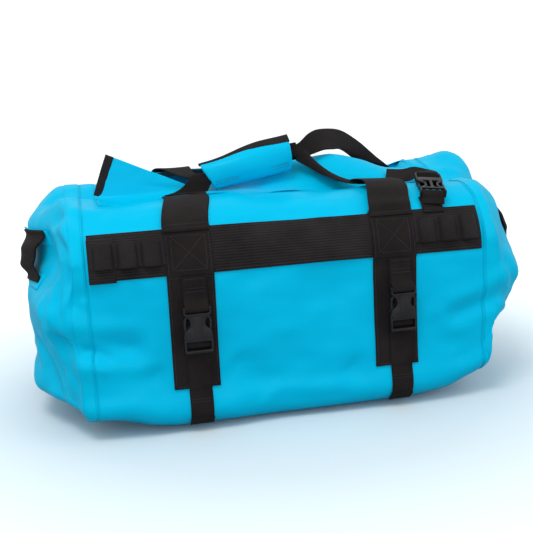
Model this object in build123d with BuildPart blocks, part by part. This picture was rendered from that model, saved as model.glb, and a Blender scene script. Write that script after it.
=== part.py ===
from build123d import *
import os
from math import cos, degrees, radians, sin

# Roll-top dry duffel: coated panels, sewn webbing, side-release buckles and a wrapped grip.
# Millimetres. The bag rests on z = 0 with its front towards -Y and its length along X.

# Body
HALF_LENGTH = 280.0
HALF_DEPTH = 150.0
TOP = 245.0
SHOULDER_R = 68.0
BASE_R = 42.0
END_R = 30.0
PANEL_T = 2.0
SEAM_X = 219.0
WALL_TOP = TOP - SHOULDER_R
SHOULDER_Y = HALF_DEPTH - SHOULDER_R
BASE_Y = HALF_DEPTH - BASE_R

# Mouth and the folded collar over it
MOUTH_X = 200.0
MOUTH_Y = 52.0
LIP_FOOT_Y = 58.0
RIDGE = 270.4
LIP_T = 2.6

# Webbing
WIDE = 50.0
NARROW = 25.0
WEB_T = 1.6
LAYER_1 = (0.1, 1.8)
LAYER_2 = (0.1, 3.4)
LAYER_3 = (3.5, 5.1)
BAND_HALF = 216.0
BAND_LOW = 175.0
BAND_TURN = degrees((WIDE - (WALL_TOP - BAND_LOW)) / SHOULDER_R)
STRIP_X = 113.0
STRIP_LOW = 51.0
STRIP_END_Y = 61.0

# Daisy loops at each end of the front band
LOOP_PITCH = 24.5
LOOP_GAP = 4.4
LOOP_T = 1.5
LOOP_LAND = 4.0
LOOP_START = 142.0
LOOP_RISE = 13.0
LOOPS_PER_END = 3

# Side-release buckles for 25 mm webbing
BUCKLE_W = 31.0
BUCKLE_T = 9.0
FEMALE_LOW, FEMALE_HIGH = 15.0, 53.0
CAVITY_W, CAVITY_T, CAVITY_HIGH = 25.6, 5.2, 46.0
WINDOW_LOW, WINDOW_HIGH = 25.0, 38.0
BAR_T = 3.0
ARM_W, ARM_T = 4.6, 4.2
ARM_TOP = 42.0
LEFT_STRAP_X, RIGHT_STRAP_X = -110.0, 118.0
BUCKLE_FOOT = 88.0
TAB_HIGH = 172.0
TAB_LOW = 143.0
STRAP_HIGH = 101.0
STRAP_WRAP = 50.0
ANCHOR_WRAP = 36.0
ANCHOR_W = 28.0

# Closure clip on the right shoulder
CLOSURE_FOOT = Vector(167.5, -131.5, 234.0)
CLOSURE_SLOPE = 26.0
CLOSURE_LEAN = 14.0
CLOSURE_STRAP_END = Vector(146.0, -26.0, 262.5)
CLOSURE_STRAP_GRIP = Vector(0, 9.0, 3.0)
CLOSURE_TAB_TURNS = (32.0, 52.0)

# Carry grip
GRIP_LEFT = Vector(-84.0, -45.0, 275.5)
GRIP_RIGHT = Vector(26.0, -45.0, 298.0)
GRIP_R = 15.0
GRIP_WALL = 2.6
FLAP_T = 1.6
FLAP_GAP = 0.4
FLAP_START, FLAP_END = 94.0, 250.0
BINDING_START = 74.0
BINDING_T = 2.4
GRIP_WEB_W, GRIP_WEB_H, GRIP_WEB_R = 20.0, 13.0, 3.0
GRIP_WEB_OUT = 8.0

# End handles, sewn towards the front of each end
END_HANDLE_Y = -38.0
END_HANDLE_Z = 188.0
END_HANDLE_HALF = 31.0
END_HANDLE_FOOT = 12.0
END_HANDLE_BOW = 12.0
END_HANDLE_T = 3.0
PATCH_H = 15.0
PATCH_T = 1.2

os.makedirs("parts", exist_ok=True)


def save(piece, name):
    piece.part.label = name
    export_step(piece.part, f"parts/{name}.step")


def outline(outset):
    """The body's section in the YZ plane, moved out by outset all round."""
    base_r = BASE_R + outset
    shoulder_r = SHOULDER_R + outset
    wall = HALF_DEPTH + outset
    with BuildSketch() as section:
        with BuildLine():
            Line((-BASE_Y, -outset), (BASE_Y, -outset))
            CenterArc((BASE_Y, BASE_R), base_r, 270, 90)
            Line((wall, BASE_R), (wall, WALL_TOP))
            CenterArc((SHOULDER_Y, WALL_TOP), shoulder_r, 0, 90)
            Line((SHOULDER_Y, TOP + outset), (-SHOULDER_Y, TOP + outset))
            CenterArc((-SHOULDER_Y, WALL_TOP), shoulder_r, 90, 90)
            Line((-wall, WALL_TOP), (-wall, BASE_R))
            CenterArc((-BASE_Y, BASE_R), base_r, 180, 90)
        make_face()
    return section.sketch


def body_block(inset):
    """The whole body as one solid with rounded ends, moved in by inset all round."""
    with BuildPart() as block:
        with BuildSketch(Plane.YZ):
            add(outline(-inset))
        extrude(amount=HALF_LENGTH - inset, both=True)
        ends = block.faces().filter_by(Axis.X)
        fillet(ends.edges(), radius=END_R - inset)
    return block.part


def ring(layer, x_from, x_to):
    """A sleeve that follows the body's section between two heights off its surface."""
    inner, outer = layer
    with BuildPart() as sleeve:
        with BuildSketch(Plane.YZ.offset(x_from)):
            add(outline(outer))
            add(outline(inner), mode=Mode.SUBTRACT)
        extrude(amount=x_to - x_from)
    return sleeve.part


def room(x_from, x_to, y_from, y_to, z_from, z_to):
    """A plain box between two corners, for keeping the part of a shape that lies in it."""
    with BuildPart() as box:
        with Locations(((x_from + x_to) / 2, (y_from + y_to) / 2, (z_from + z_to) / 2)):
            Box(x_to - x_from, y_to - y_from, z_to - z_from)
    return box.part


def sector(side, centre_y, centre_z, turn_from, turn_to, x_from, x_to):
    """A wedge about a corner's centre. Turns are degrees up from the horizontal."""
    reach = 400.0
    with BuildPart() as wedge:
        with BuildSketch(Plane.YZ.offset(x_from)):
            with BuildLine():
                far = [
                    (
                        side * (centre_y + reach * cos(radians(turn))),
                        centre_z + reach * sin(radians(turn)),
                    )
                    for turn in (turn_from, turn_to)
                ]
                Polyline((side * centre_y, centre_z), *far, close=True)
            make_face()
        extrude(amount=x_to - x_from)
    return wedge.part


# ---------------------------------------------------------------- panels
outer_block = body_block(0)
inner_block = body_block(PANEL_T)

with BuildPart() as body_panel:
    add(outer_block)
    add(inner_block, mode=Mode.SUBTRACT)
    add(room(-SEAM_X, SEAM_X, -200, 200, -10, 300), mode=Mode.INTERSECT)
    with Locations((0, 0, TOP)):
        Box(2 * MOUTH_X, 2 * MOUTH_Y, 20, mode=Mode.SUBTRACT)
save(body_panel, "body_panel")

for side, name in ((-1, "left_end_panel"), (1, "right_end_panel")):
    with BuildPart() as end_panel:
        add(outer_block)
        add(inner_block, mode=Mode.SUBTRACT)
        add(room(*sorted((side * SEAM_X, side * 400)), -200, 200, -10, 300), mode=Mode.INTERSECT)
    save(end_panel, name)

# Welded tapes over the seams between the body panel and the ends, on the walls and the top
TAPE_W = 22.0
TAPE_T = 0.8
TAPE_FOOT = 6.0
for side, name in ((-1, "left_seam_tape"), (1, "right_seam_tape")):
    x_from, x_to = sorted((side * (SEAM_X + 1), side * (SEAM_X + 1 + TAPE_W)))
    with BuildPart() as tape:
        add(ring((0.0, TAPE_T), x_from, x_to))
        add(room(x_from, x_to, -200, 200, TAPE_FOOT, 300), mode=Mode.INTERSECT)
    save(tape, name)

# ---------------------------------------------------------------- collar
for side, name in ((-1, "collar_front_lip"), (1, "collar_rear_lip")):
    with BuildPart() as lip:
        with BuildSketch(Plane.YZ):
            with BuildLine():
                Polyline(
                    (side * LIP_FOOT_Y, TOP),
                    (0, RIDGE),
                    (0, RIDGE - LIP_T),
                    (side * MOUTH_Y, TOP),
                    close=True,
                )
            make_face()
        extrude(amount=MOUTH_X, both=True)
    save(lip, name)

for side, name in ((-1, "collar_left_gusset"), (1, "collar_right_gusset")):
    with BuildPart() as gusset:
        with BuildSketch(Plane.YZ.offset(side * MOUTH_X)):
            with BuildLine():
                Polyline((-LIP_FOOT_Y, TOP), (LIP_FOOT_Y, TOP), (0, RIDGE), close=True)
            make_face()
        extrude(amount=side * PANEL_T)
    save(gusset, name)

# Hook and loop tapes inside the lips, just under the ridge
TAPE_NEAR, TAPE_FAR, HOOK_T = 5.0, 26.0, 1.4


def under_lip(y):
    return RIDGE - LIP_T - (RIDGE - LIP_T - TOP) * y / MOUTH_Y


for side, name in ((-1, "hook_tape"), (1, "loop_tape")):
    with BuildPart() as tape:
        with BuildSketch(Plane.YZ):
            with BuildLine():
                Polyline(
                    (side * TAPE_NEAR, under_lip(TAPE_NEAR)),
                    (side * TAPE_FAR, under_lip(TAPE_FAR)),
                    (side * TAPE_FAR, under_lip(TAPE_FAR) - HOOK_T),
                    (side * TAPE_NEAR, under_lip(TAPE_NEAR) - HOOK_T),
                    close=True,
                )
            make_face()
        extrude(amount=MOUTH_X - 10, both=True)
    save(tape, name)

# The loose left end of the front lip stands up as a three-cornered wing with a bound edge
WING_Y = -47.0
WING_FOOT = 252.2
WING_T = 2.0
WING_TIP = (-184.0, 298.0)
WING_OUTER = (-200.0, WING_FOOT)
WING_INNER = (-126.0, 270.0)
BIND_W = 10.0
with BuildPart() as collar_wing:
    with BuildSketch(Plane.XZ.offset(-WING_Y)):
        with BuildLine():
            Polyline(
                (WING_OUTER[0] + BIND_W, WING_FOOT),
                (WING_TIP[0] + BIND_W, WING_TIP[1] - BIND_W * 0.47),
                WING_INNER,
                (WING_INNER[0], WING_FOOT),
                close=True,
            )
        make_face()
    extrude(amount=WING_T / 2, both=True)
save(collar_wing, "collar_wing")

with BuildPart() as wing_binding:
    with BuildSketch(Plane.XZ.offset(-WING_Y)):
        with BuildLine():
            Polyline(
                WING_OUTER,
                WING_TIP,
                (WING_TIP[0] + BIND_W, WING_TIP[1] - BIND_W * 0.47),
                (WING_OUTER[0] + BIND_W, WING_FOOT),
                close=True,
            )
        make_face()
    extrude(amount=WING_T / 2 + 0.6, both=True)
save(wing_binding, "wing_binding")

# ---------------------------------------------------------------- bands and strips
for side, name in ((-1, "front_band"), (1, "rear_band")):
    with BuildPart() as band:
        add(ring(LAYER_1, -BAND_HALF, BAND_HALF))
        depths = sorted((side * 100, side * 200))
        add(room(-BAND_HALF, BAND_HALF, *depths, BAND_LOW, 300), mode=Mode.INTERSECT)
        turned = sector(side, SHOULDER_Y, WALL_TOP, -60, BAND_TURN, -BAND_HALF, BAND_HALF)
        add(turned, mode=Mode.INTERSECT)
    save(band, name)
    for strip_side, strip_name in ((-1, "left_strip"), (1, "right_strip")):
        x_from = strip_side * STRIP_X - WIDE / 2
        x_to = x_from + WIDE
        with BuildPart() as strip:
            add(ring(LAYER_2, x_from, x_to))
            depths = sorted((side * STRIP_END_Y, side * 200))
            add(room(x_from, x_to, *depths, STRIP_LOW, 300), mode=Mode.INTERSECT)
            add(band.part, mode=Mode.SUBTRACT)
        save(strip, f"{name.split('_')[0]}_{strip_name}")

# Daisy loops: a 25 mm tape tacked down between low arches, so that each arch takes a clip
def shoulder_piece(layer, x_from, x_to, turn_from, turn_to):
    """A stretch of tape on the front shoulder between two heights and two turns."""
    with BuildPart() as piece:
        add(ring(layer, x_from, x_to))
        add(room(x_from, x_to, -200, -100, WALL_TOP, 300), mode=Mode.INTERSECT)
        add(sector(-1, SHOULDER_Y, WALL_TOP, turn_from, turn_to, x_from, x_to), mode=Mode.INTERSECT)
    return piece.part


def strip_of(side, start, end):
    return sorted((side * start, side * end))


loop_base = LAYER_1[1]
loop_top = loop_base + LOOP_T + LOOP_GAP
loop_turns = [degrees((LOOP_RISE + edge - (WALL_TOP - BAND_LOW)) / SHOULDER_R) for edge in (0, NARROW)]
for side, name in ((-1, "front_left_loops"), (1, "front_right_loops")):
    with BuildPart() as loops:
        for index in range(LOOPS_PER_END + 1):
            start = LOOP_START + index * LOOP_PITCH
            land = strip_of(side, start - LOOP_LAND, start)
            add(shoulder_piece((loop_base, loop_base + LOOP_T), *land, *loop_turns))
        for index in range(LOOPS_PER_END):
            start = LOOP_START + index * LOOP_PITCH
            end = start + LOOP_PITCH - LOOP_LAND
            roof = strip_of(side, start, end)
            add(shoulder_piece((loop_top - LOOP_T, loop_top), *roof, *loop_turns))
            for leg in ((start, start + LOOP_T), (end - LOOP_T, end)):
                foot = strip_of(side, *leg)
                add(shoulder_piece((loop_base, loop_top), *foot, *loop_turns))
    save(loops, name)

# ---------------------------------------------------------------- buckles
# In a buckle's plane, Y runs from the strap end up to the tab end and Z points away from the bag.
def buckle_female(plane):
    with BuildPart() as female:
        with BuildSketch(plane):
            with Locations((0, (FEMALE_LOW + CAVITY_HIGH) / 2)):
                Rectangle(BUCKLE_W, CAVITY_HIGH - FEMALE_LOW)
            for side in (-1, 1):
                with Locations((side * (BUCKLE_W - BAR_T) / 2, (CAVITY_HIGH + FEMALE_HIGH) / 2)):
                    Rectangle(BAR_T, FEMALE_HIGH - CAVITY_HIGH)
            with Locations((0, FEMALE_HIGH - BAR_T / 2)):
                Rectangle(BUCKLE_W, BAR_T)
        extrude(amount=BUCKLE_T)
        outer = female.edges().group_by(SortBy.LENGTH)[-1]
        chamfer(outer, length=0.8)
        cavity_mid = (FEMALE_LOW + CAVITY_HIGH - 4) / 2
        with BuildSketch(plane.offset((BUCKLE_T - CAVITY_T) / 2)):
            with Locations((0, cavity_mid)):
                Rectangle(CAVITY_W, CAVITY_HIGH - 4 - FEMALE_LOW)
        extrude(amount=CAVITY_T, mode=Mode.SUBTRACT)
        with BuildSketch(plane.offset((BUCKLE_T - CAVITY_T) / 2)):
            with Locations((0, (WINDOW_LOW + WINDOW_HIGH) / 2)):
                Rectangle(BUCKLE_W + 2, WINDOW_HIGH - WINDOW_LOW)
        extrude(amount=CAVITY_T, mode=Mode.SUBTRACT)
        with BuildSketch(plane):
            with Locations((0, FEMALE_HIGH - BAR_T / 2)):
                Rectangle(BUCKLE_W - 2 * BAR_T, BAR_T + 2)
        extrude(amount=2.2, mode=Mode.SUBTRACT)
    return female.part


def buckle_male(plane):
    low = (BUCKLE_T - ARM_T) / 2
    with BuildPart() as male:
        with BuildSketch(plane.offset(low)):
            for side in (-1, 1):
                with BuildLine():
                    inner, outer = side * (CAVITY_W / 2 - 0.5 - ARM_W), side * (CAVITY_W / 2 - 0.5)
                    Polyline(
                        (inner, FEMALE_LOW - 2),
                        (outer, FEMALE_LOW - 2),
                        (outer, WINDOW_HIGH - 1),
                        (outer - side * 2, ARM_TOP - 1),
                        (inner, ARM_TOP - 1),
                        close=True,
                    )
                make_face()
            with Locations((0, (FEMALE_LOW - 2 + WINDOW_LOW) / 2)):
                Rectangle(4, WINDOW_LOW - FEMALE_LOW + 2)
        extrude(amount=ARM_T)
        with BuildSketch(plane.offset(0.4)):
            with Locations((0, (FEMALE_LOW - 0.4) / 2)):
                Rectangle(BUCKLE_W - 1, FEMALE_LOW - 0.4)
            with Locations((0, 5.6)):
                Rectangle(BUCKLE_W - 1 - 2 * BAR_T, 4.4, mode=Mode.SUBTRACT)
        extrude(amount=BUCKLE_T - 1.4)
    return male.part


buckle_y = -(HALF_DEPTH + LAYER_3[1] + 0.4)
for name, strap_x in (("left", LEFT_STRAP_X), ("right", RIGHT_STRAP_X)):
    mount = Plane(origin=(strap_x, buckle_y, BUCKLE_FOOT), x_dir=(1, 0, 0), z_dir=(0, -1, 0))
    with BuildPart() as female:
        add(buckle_female(mount))
    save(female, f"{name}_buckle_female")
    with BuildPart() as male:
        add(buckle_male(mount))
    save(male, f"{name}_buckle_male")

    edge = strap_x - NARROW / 2
    with BuildPart() as tab:
        add(ring(LAYER_3, edge, edge + NARROW))
        add(room(edge, edge + NARROW, -200, -100, TAB_LOW, TAB_HIGH), mode=Mode.INTERSECT)
    save(tab, f"{name}_buckle_tab")

    # The lower strap lies on the strip, and turns under the bottom corner to its sewn end
    with BuildPart() as strap:
        add(ring(LAYER_3, edge, edge + NARROW))
        add(room(edge, edge + NARROW, -200, -BASE_Y, 0.5, STRAP_HIGH), mode=Mode.INTERSECT)
        add(sector(-1, BASE_Y, BASE_R, -STRAP_WRAP, 80, edge, edge + NARROW), mode=Mode.INTERSECT)
    save(strap, f"{name}_lower_strap")

    edge = strap_x - ANCHOR_W / 2
    with BuildPart() as anchor:
        add(ring((0.1, LAYER_3[0]), edge, edge + ANCHOR_W))
        add(room(edge, edge + ANCHOR_W, -200, -BASE_Y, 0.5, BASE_R), mode=Mode.INTERSECT)
        turned = sector(-1, BASE_Y, BASE_R, -STRAP_WRAP, -ANCHOR_WRAP, edge, edge + ANCHOR_W)
        add(turned, mode=Mode.INTERSECT)
    save(anchor, f"{name}_strap_anchor")

# The closure clip stands on the right shoulder: the female half on its tab, the male above it
rise, lean = radians(CLOSURE_SLOPE), radians(CLOSURE_LEAN)
uphill = Vector(0, cos(rise), sin(rise))
outward = Vector(0, -sin(rise), cos(rise))
along = uphill * cos(lean) + Vector(1, 0, 0) * sin(lean)
across = Vector(1, 0, 0) * cos(lean) - uphill * sin(lean)
closure = Plane(
    origin=CLOSURE_FOOT + along * FEMALE_HIGH,
    x_dir=across * -1,
    z_dir=outward,
)
with BuildPart() as female:
    add(buckle_female(closure))
save(female, "closure_buckle_female")
with BuildPart() as male:
    add(buckle_male(closure))
save(male, "closure_buckle_male")

with BuildPart() as tab:
    tab_x = CLOSURE_FOOT.X - NARROW / 2
    over_band = (LAYER_1[1], LAYER_1[1] + WEB_T)
    add(shoulder_piece(over_band, tab_x, tab_x + NARROW, *CLOSURE_TAB_TURNS))
save(tab, "closure_tab")

# The closure strap runs from the male half across to the end of the collar
strap_from = closure.origin + along * CLOSURE_STRAP_GRIP.Y + outward * CLOSURE_STRAP_GRIP.Z
strap_run = CLOSURE_STRAP_END - strap_from
with BuildPart() as strap:
    level_across = Vector(0, 0, 1).cross(strap_run)
    lie = Plane(origin=strap_from, x_dir=strap_run, z_dir=strap_run.cross(level_across))
    with BuildSketch(lie):
        with Locations((strap_run.length / 2, 0)):
            Rectangle(strap_run.length, NARROW)
    extrude(amount=WEB_T)
save(strap, "closure_strap")

# ---------------------------------------------------------------- grip and handle webbing
grip_run = GRIP_RIGHT - GRIP_LEFT
grip_plane = Plane(origin=GRIP_LEFT, x_dir=(0, 1, 0), z_dir=grip_run)
GRIP_LONG = grip_run.length


def tube_arc(inner, outer, turn_from, turn_to):
    """Part of a tube round the grip's axis. Turns are degrees, measured from the rear side."""
    with BuildPart() as shell:
        with BuildSketch(grip_plane):
            with BuildLine():
                CenterArc((0, 0), outer, turn_from, turn_to - turn_from)
                CenterArc((0, 0), inner, turn_from, turn_to - turn_from)
                for turn in (turn_from, turn_to):
                    t = radians(turn)
                    Line((inner * cos(t), inner * sin(t)), (outer * cos(t), outer * sin(t)))
            make_face()
        extrude(amount=GRIP_LONG)
    return shell.part


with BuildPart() as grip_wrap:
    with BuildSketch(grip_plane):
        Circle(GRIP_R)
        Circle(GRIP_R - GRIP_WALL, mode=Mode.SUBTRACT)
    extrude(amount=GRIP_LONG)
save(grip_wrap, "grip_wrap")

flap_in = GRIP_R + FLAP_GAP
with BuildPart() as grip_flap:
    add(tube_arc(flap_in, flap_in + FLAP_T, FLAP_START, FLAP_END))
save(grip_flap, "grip_flap")

# A bound edge runs the length of the flap, where it laps over the top of the grip
with BuildPart() as grip_binding:
    add(tube_arc(flap_in, flap_in + BINDING_T, BINDING_START, FLAP_START))
save(grip_binding, "grip_binding")

# The four layers of handle webbing gathered inside the wrap
with BuildPart() as grip_webbing:
    with BuildSketch(grip_plane.offset(-GRIP_WEB_OUT)):
        RectangleRounded(GRIP_WEB_W, GRIP_WEB_H, GRIP_WEB_R)
    extrude(amount=GRIP_LONG + 2 * GRIP_WEB_OUT)
save(grip_webbing, "grip_webbing")


def ribbon(rungs):
    """Webbing through rungs: a middle point, the way across, the way along and a width."""
    with BuildPart() as web:
        for middle, across_web, along_web, width in rungs:
            with BuildSketch(Plane(origin=middle, x_dir=across_web, z_dir=along_web)):
                Rectangle(width, WEB_T)
        loft(ruled=True)
    return web.part


# Each leg leaves the end of the grip folded narrow, and opens out to lie on its strip
LEGS = {
    "front_left_leg": [
        ((-98, -45, 272.4), (0, 1, 0), (-1, 0, -0.6), 18),
        ((-106, -53, 264), (-0.5, 1, 0), (-1, -0.5, -0.6), 34),
        ((-113, -66, 253), (-1, 0, 0), (0, -1, -0.15), 48),
    ],
    "rear_left_leg": [
        ((-98, -30, 274), (0, 1, 0), (-1, 0, 0.4), 12),
        ((-106, -8, 281), (0.7, 0.7, 0), (-0.7, 0.7, 0), 34),
        ((-113, 28, 275), (1, 0, 0), (0, 1, -0.3), 46),
        ((-113, 66, 253.5), (1, 0, 0), (0, 0.6, -1), 48),
    ],
    "front_right_leg": [
        ((37, -47, 299.6), (0, 1, 0), (1, 0, -0.3), 18),
        ((62, -52, 289), (0, 1, 0), (1, 0, -0.6), 38),
        ((92, -57, 268), (0.5, 1, 0), (1, -0.5, -0.7), 44),
        ((113, -66, 253), (1, 0, 0), (0, -1, -0.15), 48),
    ],
    "rear_right_leg": [
        ((37, -32, 302), (0, 1, 0), (1, 0, 0.1), 10),
        ((62, -14, 306), (-0.5, 1, 0), (1, 0.5, 0.1), 36),
        ((90, 8, 308), (-0.8, 0.8, 0), (0.8, 0.8, -0.1), 46),
        ((110, 34, 294), (-1, 0.1, 0), (0.1, 1, -0.7), 48),
        ((113, 66, 253.5), (-1, 0, 0), (0, 0.6, -1), 48),
    ],
}
for name, rungs in LEGS.items():
    with BuildPart() as leg:
        add(ribbon(rungs))
    save(leg, name)

# ---------------------------------------------------------------- end handles
# A short vertical loop of doubled webbing on each end, sewn to two welded patches
for side, name in ((-1, "left"), (1, "right")):
    foot_x = HALF_LENGTH + PATCH_T + END_HANDLE_T / 2
    bow_x = foot_x + END_HANDLE_BOW
    high, low = END_HANDLE_Z + END_HANDLE_HALF, END_HANDLE_Z - END_HANDLE_HALF
    with BuildPart() as patches:
        for patch_z in (high - PATCH_H / 2, low + PATCH_H / 2):
            with Locations((side * (HALF_LENGTH + PATCH_T / 2), END_HANDLE_Y, patch_z)):
                Box(PATCH_T, WIDE + 10, PATCH_H)
    save(patches, f"{name}_handle_patches")
    with BuildPart() as handle:
        with BuildSketch(Plane.XZ.offset(-END_HANDLE_Y)):
            with BuildLine() as path:
                Polyline(
                    (side * foot_x, high),
                    (side * foot_x, high - END_HANDLE_FOOT),
                    (side * bow_x, high - END_HANDLE_FOOT - END_HANDLE_BOW),
                    (side * bow_x, low + END_HANDLE_FOOT + END_HANDLE_BOW),
                    (side * foot_x, low + END_HANDLE_FOOT),
                    (side * foot_x, low),
                )
                offset(amount=END_HANDLE_T / 2, side=Side.BOTH, kind=Kind.INTERSECTION)
            make_face()
        extrude(amount=WIDE / 2, both=True)
    save(handle, f"{name}_end_handle")
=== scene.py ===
from math import cos, pi, radians, sin

import bmesh
import bpy
import numpy as np
from mathutils import Matrix, Vector


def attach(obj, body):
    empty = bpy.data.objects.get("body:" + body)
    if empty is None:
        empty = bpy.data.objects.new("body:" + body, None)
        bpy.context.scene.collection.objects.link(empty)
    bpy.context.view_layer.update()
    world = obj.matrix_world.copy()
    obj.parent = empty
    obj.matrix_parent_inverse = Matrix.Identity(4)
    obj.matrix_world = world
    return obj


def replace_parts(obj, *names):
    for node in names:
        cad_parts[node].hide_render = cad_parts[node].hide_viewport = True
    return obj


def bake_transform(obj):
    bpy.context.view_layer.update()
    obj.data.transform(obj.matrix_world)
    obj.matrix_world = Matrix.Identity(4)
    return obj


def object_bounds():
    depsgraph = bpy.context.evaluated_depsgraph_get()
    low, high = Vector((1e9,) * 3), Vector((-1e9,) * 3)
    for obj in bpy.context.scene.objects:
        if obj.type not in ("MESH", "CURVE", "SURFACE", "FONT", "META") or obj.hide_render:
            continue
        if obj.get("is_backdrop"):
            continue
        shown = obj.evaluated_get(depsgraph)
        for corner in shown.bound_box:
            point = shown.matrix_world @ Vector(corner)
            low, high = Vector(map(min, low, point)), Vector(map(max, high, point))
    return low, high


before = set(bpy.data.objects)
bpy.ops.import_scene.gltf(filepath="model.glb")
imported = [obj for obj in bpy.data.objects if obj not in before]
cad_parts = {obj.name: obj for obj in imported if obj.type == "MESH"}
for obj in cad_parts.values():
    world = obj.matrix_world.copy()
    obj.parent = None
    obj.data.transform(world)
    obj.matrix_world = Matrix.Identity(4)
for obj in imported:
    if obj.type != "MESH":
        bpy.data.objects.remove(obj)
cad_low, cad_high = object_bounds()
MM = 0.001

# ---- the body's surface
# Millimetres here, in the row frame. u runs along the bag and s round its section: 0 on
# the middle of the top, positive down the front, negative down the rear.
HALF_DEPTH = 150.0
TOP_Z = 247.0
SHOULDER_R = 70.0
BASE_R = 42.0
END_R = 38.0
WALL_TOP = TOP_Z - SHOULDER_R
L_TOP = HALF_DEPTH - SHOULDER_R
L_SHOULDER = SHOULDER_R * pi / 2
L_WALL = WALL_TOP - BASE_R
L_BASE = BASE_R * pi / 2
L_BOTTOM = HALF_DEPTH - BASE_R
S_SHOULDER = L_TOP
S_WALL = S_SHOULDER + L_SHOULDER
S_BASE = S_WALL + L_WALL
S_BOTTOM = S_BASE + L_BASE
S_END = S_BOTTOM + L_BOTTOM
U_FLAT = 242.0
U_ROUND = U_FLAT + END_R * pi / 2
U_END = U_ROUND + 150.0
SEAM_X = 219.0
CENTRE_Z = 120.0


def smooth(t):
    t = np.clip(t, 0, 1)
    return t * t * (3 - 2 * t)


def bell(distance, width):
    return np.exp(-((distance / width) ** 2))


def soft_table(knots, values, low, high, blur):
    """A smooth curve through a few given values, as a function."""
    grid = np.linspace(low, high, 400)
    rough = np.interp(grid, knots, values)
    step = (high - low) / 399
    reach = int(3 * blur / step) + 1
    kernel = bell(np.arange(-reach, reach + 1) * step, blur)
    padded = np.pad(rough, reach, mode="edge")
    fine = np.convolve(padded, kernel / kernel.sum(), mode="valid")
    return lambda v: np.interp(v, grid, fine)


# How far each end panel stands in or out of the plain end at mid depth, by height, and how
# much less it does at the front and rear edges
left_reach = soft_table(
    [0, 15, 30, 49, 74, 101, 146, 193, 225, 242, 255], [-14, 2, 9, 4, -1, 0, 2, -5, 3, -4, -8], 0, 300, 9
)
left_front_taper = soft_table(
    [0, 20, 40, 65, 90, 120, 140, 160, 185, 215, 245],
    [24, 30, 34, 33, 28, 12, 8, 20, 32, 32, 20],
    *(0, 300, 9),
)
right_reach = soft_table(
    [0, 27, 57, 94, 132, 143, 179, 215, 241], [-26, -22, -13, 13, 25, 24, 10, 0, -5], 0, 300, 9
)
LEFT_REAR_TAPER, RIGHT_TAPER = 9.0, 34.0
# How far the bottom curls up towards each end, by distance along
base_lift = soft_table(
    [-290, -262, -236, -200, -185, -165, -135, 140, 176, 213, 235, 262],
    [20, 16, 14, 13, 10, 4, 0, 0, 6, 20, 31, 38],
    *(-320, 320, 9),
)


def spline(values, knots, at):
    """A smooth curve through values, set at the knots, read at the places given."""
    slopes = np.gradient(values, knots, axis=0)
    i = np.clip(np.searchsorted(knots, at, side="right") - 1, 0, len(knots) - 2)
    h = (knots[i + 1] - knots[i]).reshape(-1, *[1] * (values.ndim - 1))
    t = (at - knots[i]).reshape(h.shape) / h
    return (
        (2 * t**3 - 3 * t**2 + 1) * values[i]
        + (t**3 - 2 * t**2 + t) * h * slopes[i]
        + (3 * t**2 - 2 * t**3) * values[i + 1]
        + (t**3 - t**2) * h * slopes[i + 1]
    )


def run_along(points):
    """The distance of each point from the first, along the line."""
    return np.concatenate([[0], np.cumsum(np.linalg.norm(np.diff(points, axis=0), axis=1))])


def unit(vectors):
    return vectors / np.linalg.norm(vectors, axis=-1, keepdims=True)


def grid_normals(grid):
    return unit(np.cross(np.gradient(grid, axis=0), np.gradient(grid, axis=1)))


def section(s, inset):
    """Points of the section moved in by inset, as y and z."""
    a = np.abs(s)
    shoulder = (a - S_SHOULDER) / L_SHOULDER * pi / 2
    base = (a - S_BASE) / L_BASE * pi / 2
    y = np.select(
        [a < S_SHOULDER, a < S_WALL, a < S_BASE, a < S_BOTTOM],
        [
            a,
            L_TOP + (SHOULDER_R - inset) * np.sin(shoulder),
            HALF_DEPTH - inset,
            L_BOTTOM + (BASE_R - inset) * np.cos(base),
        ],
        L_BOTTOM - (a - S_BOTTOM),
    )
    z = np.select(
        [a < S_SHOULDER, a < S_WALL, a < S_BASE, a < S_BOTTOM],
        [
            TOP_Z - inset,
            WALL_TOP + (SHOULDER_R - inset) * np.cos(shoulder),
            WALL_TOP - (a - S_WALL),
            BASE_R - (BASE_R - inset) * np.sin(base),
        ],
        inset,
    )
    return np.where(s > 0, -y, y), z


def plain(u, s):
    """The block with rounded ends that the bag would be if it were quite tight."""
    u, s = np.broadcast_arrays(np.asarray(u, float), np.asarray(s, float))
    a = np.abs(u)
    turn = np.clip((a - U_FLAT) / END_R, 0, pi / 2)
    inset = END_R * (1 - np.cos(turn))
    y, z = section(s, inset)
    shrink = 1 - np.clip((a - U_ROUND) / (U_END - U_ROUND), 0, 1)
    y = y * shrink
    z = CENTRE_Z + (z - CENTRE_Z) * shrink
    crown = 5 * (1 - shrink**2)
    x = np.sign(u) * (np.minimum(a, U_FLAT) + END_R * np.sin(turn) + crown)
    return np.stack([x, y, z], -1)


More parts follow.
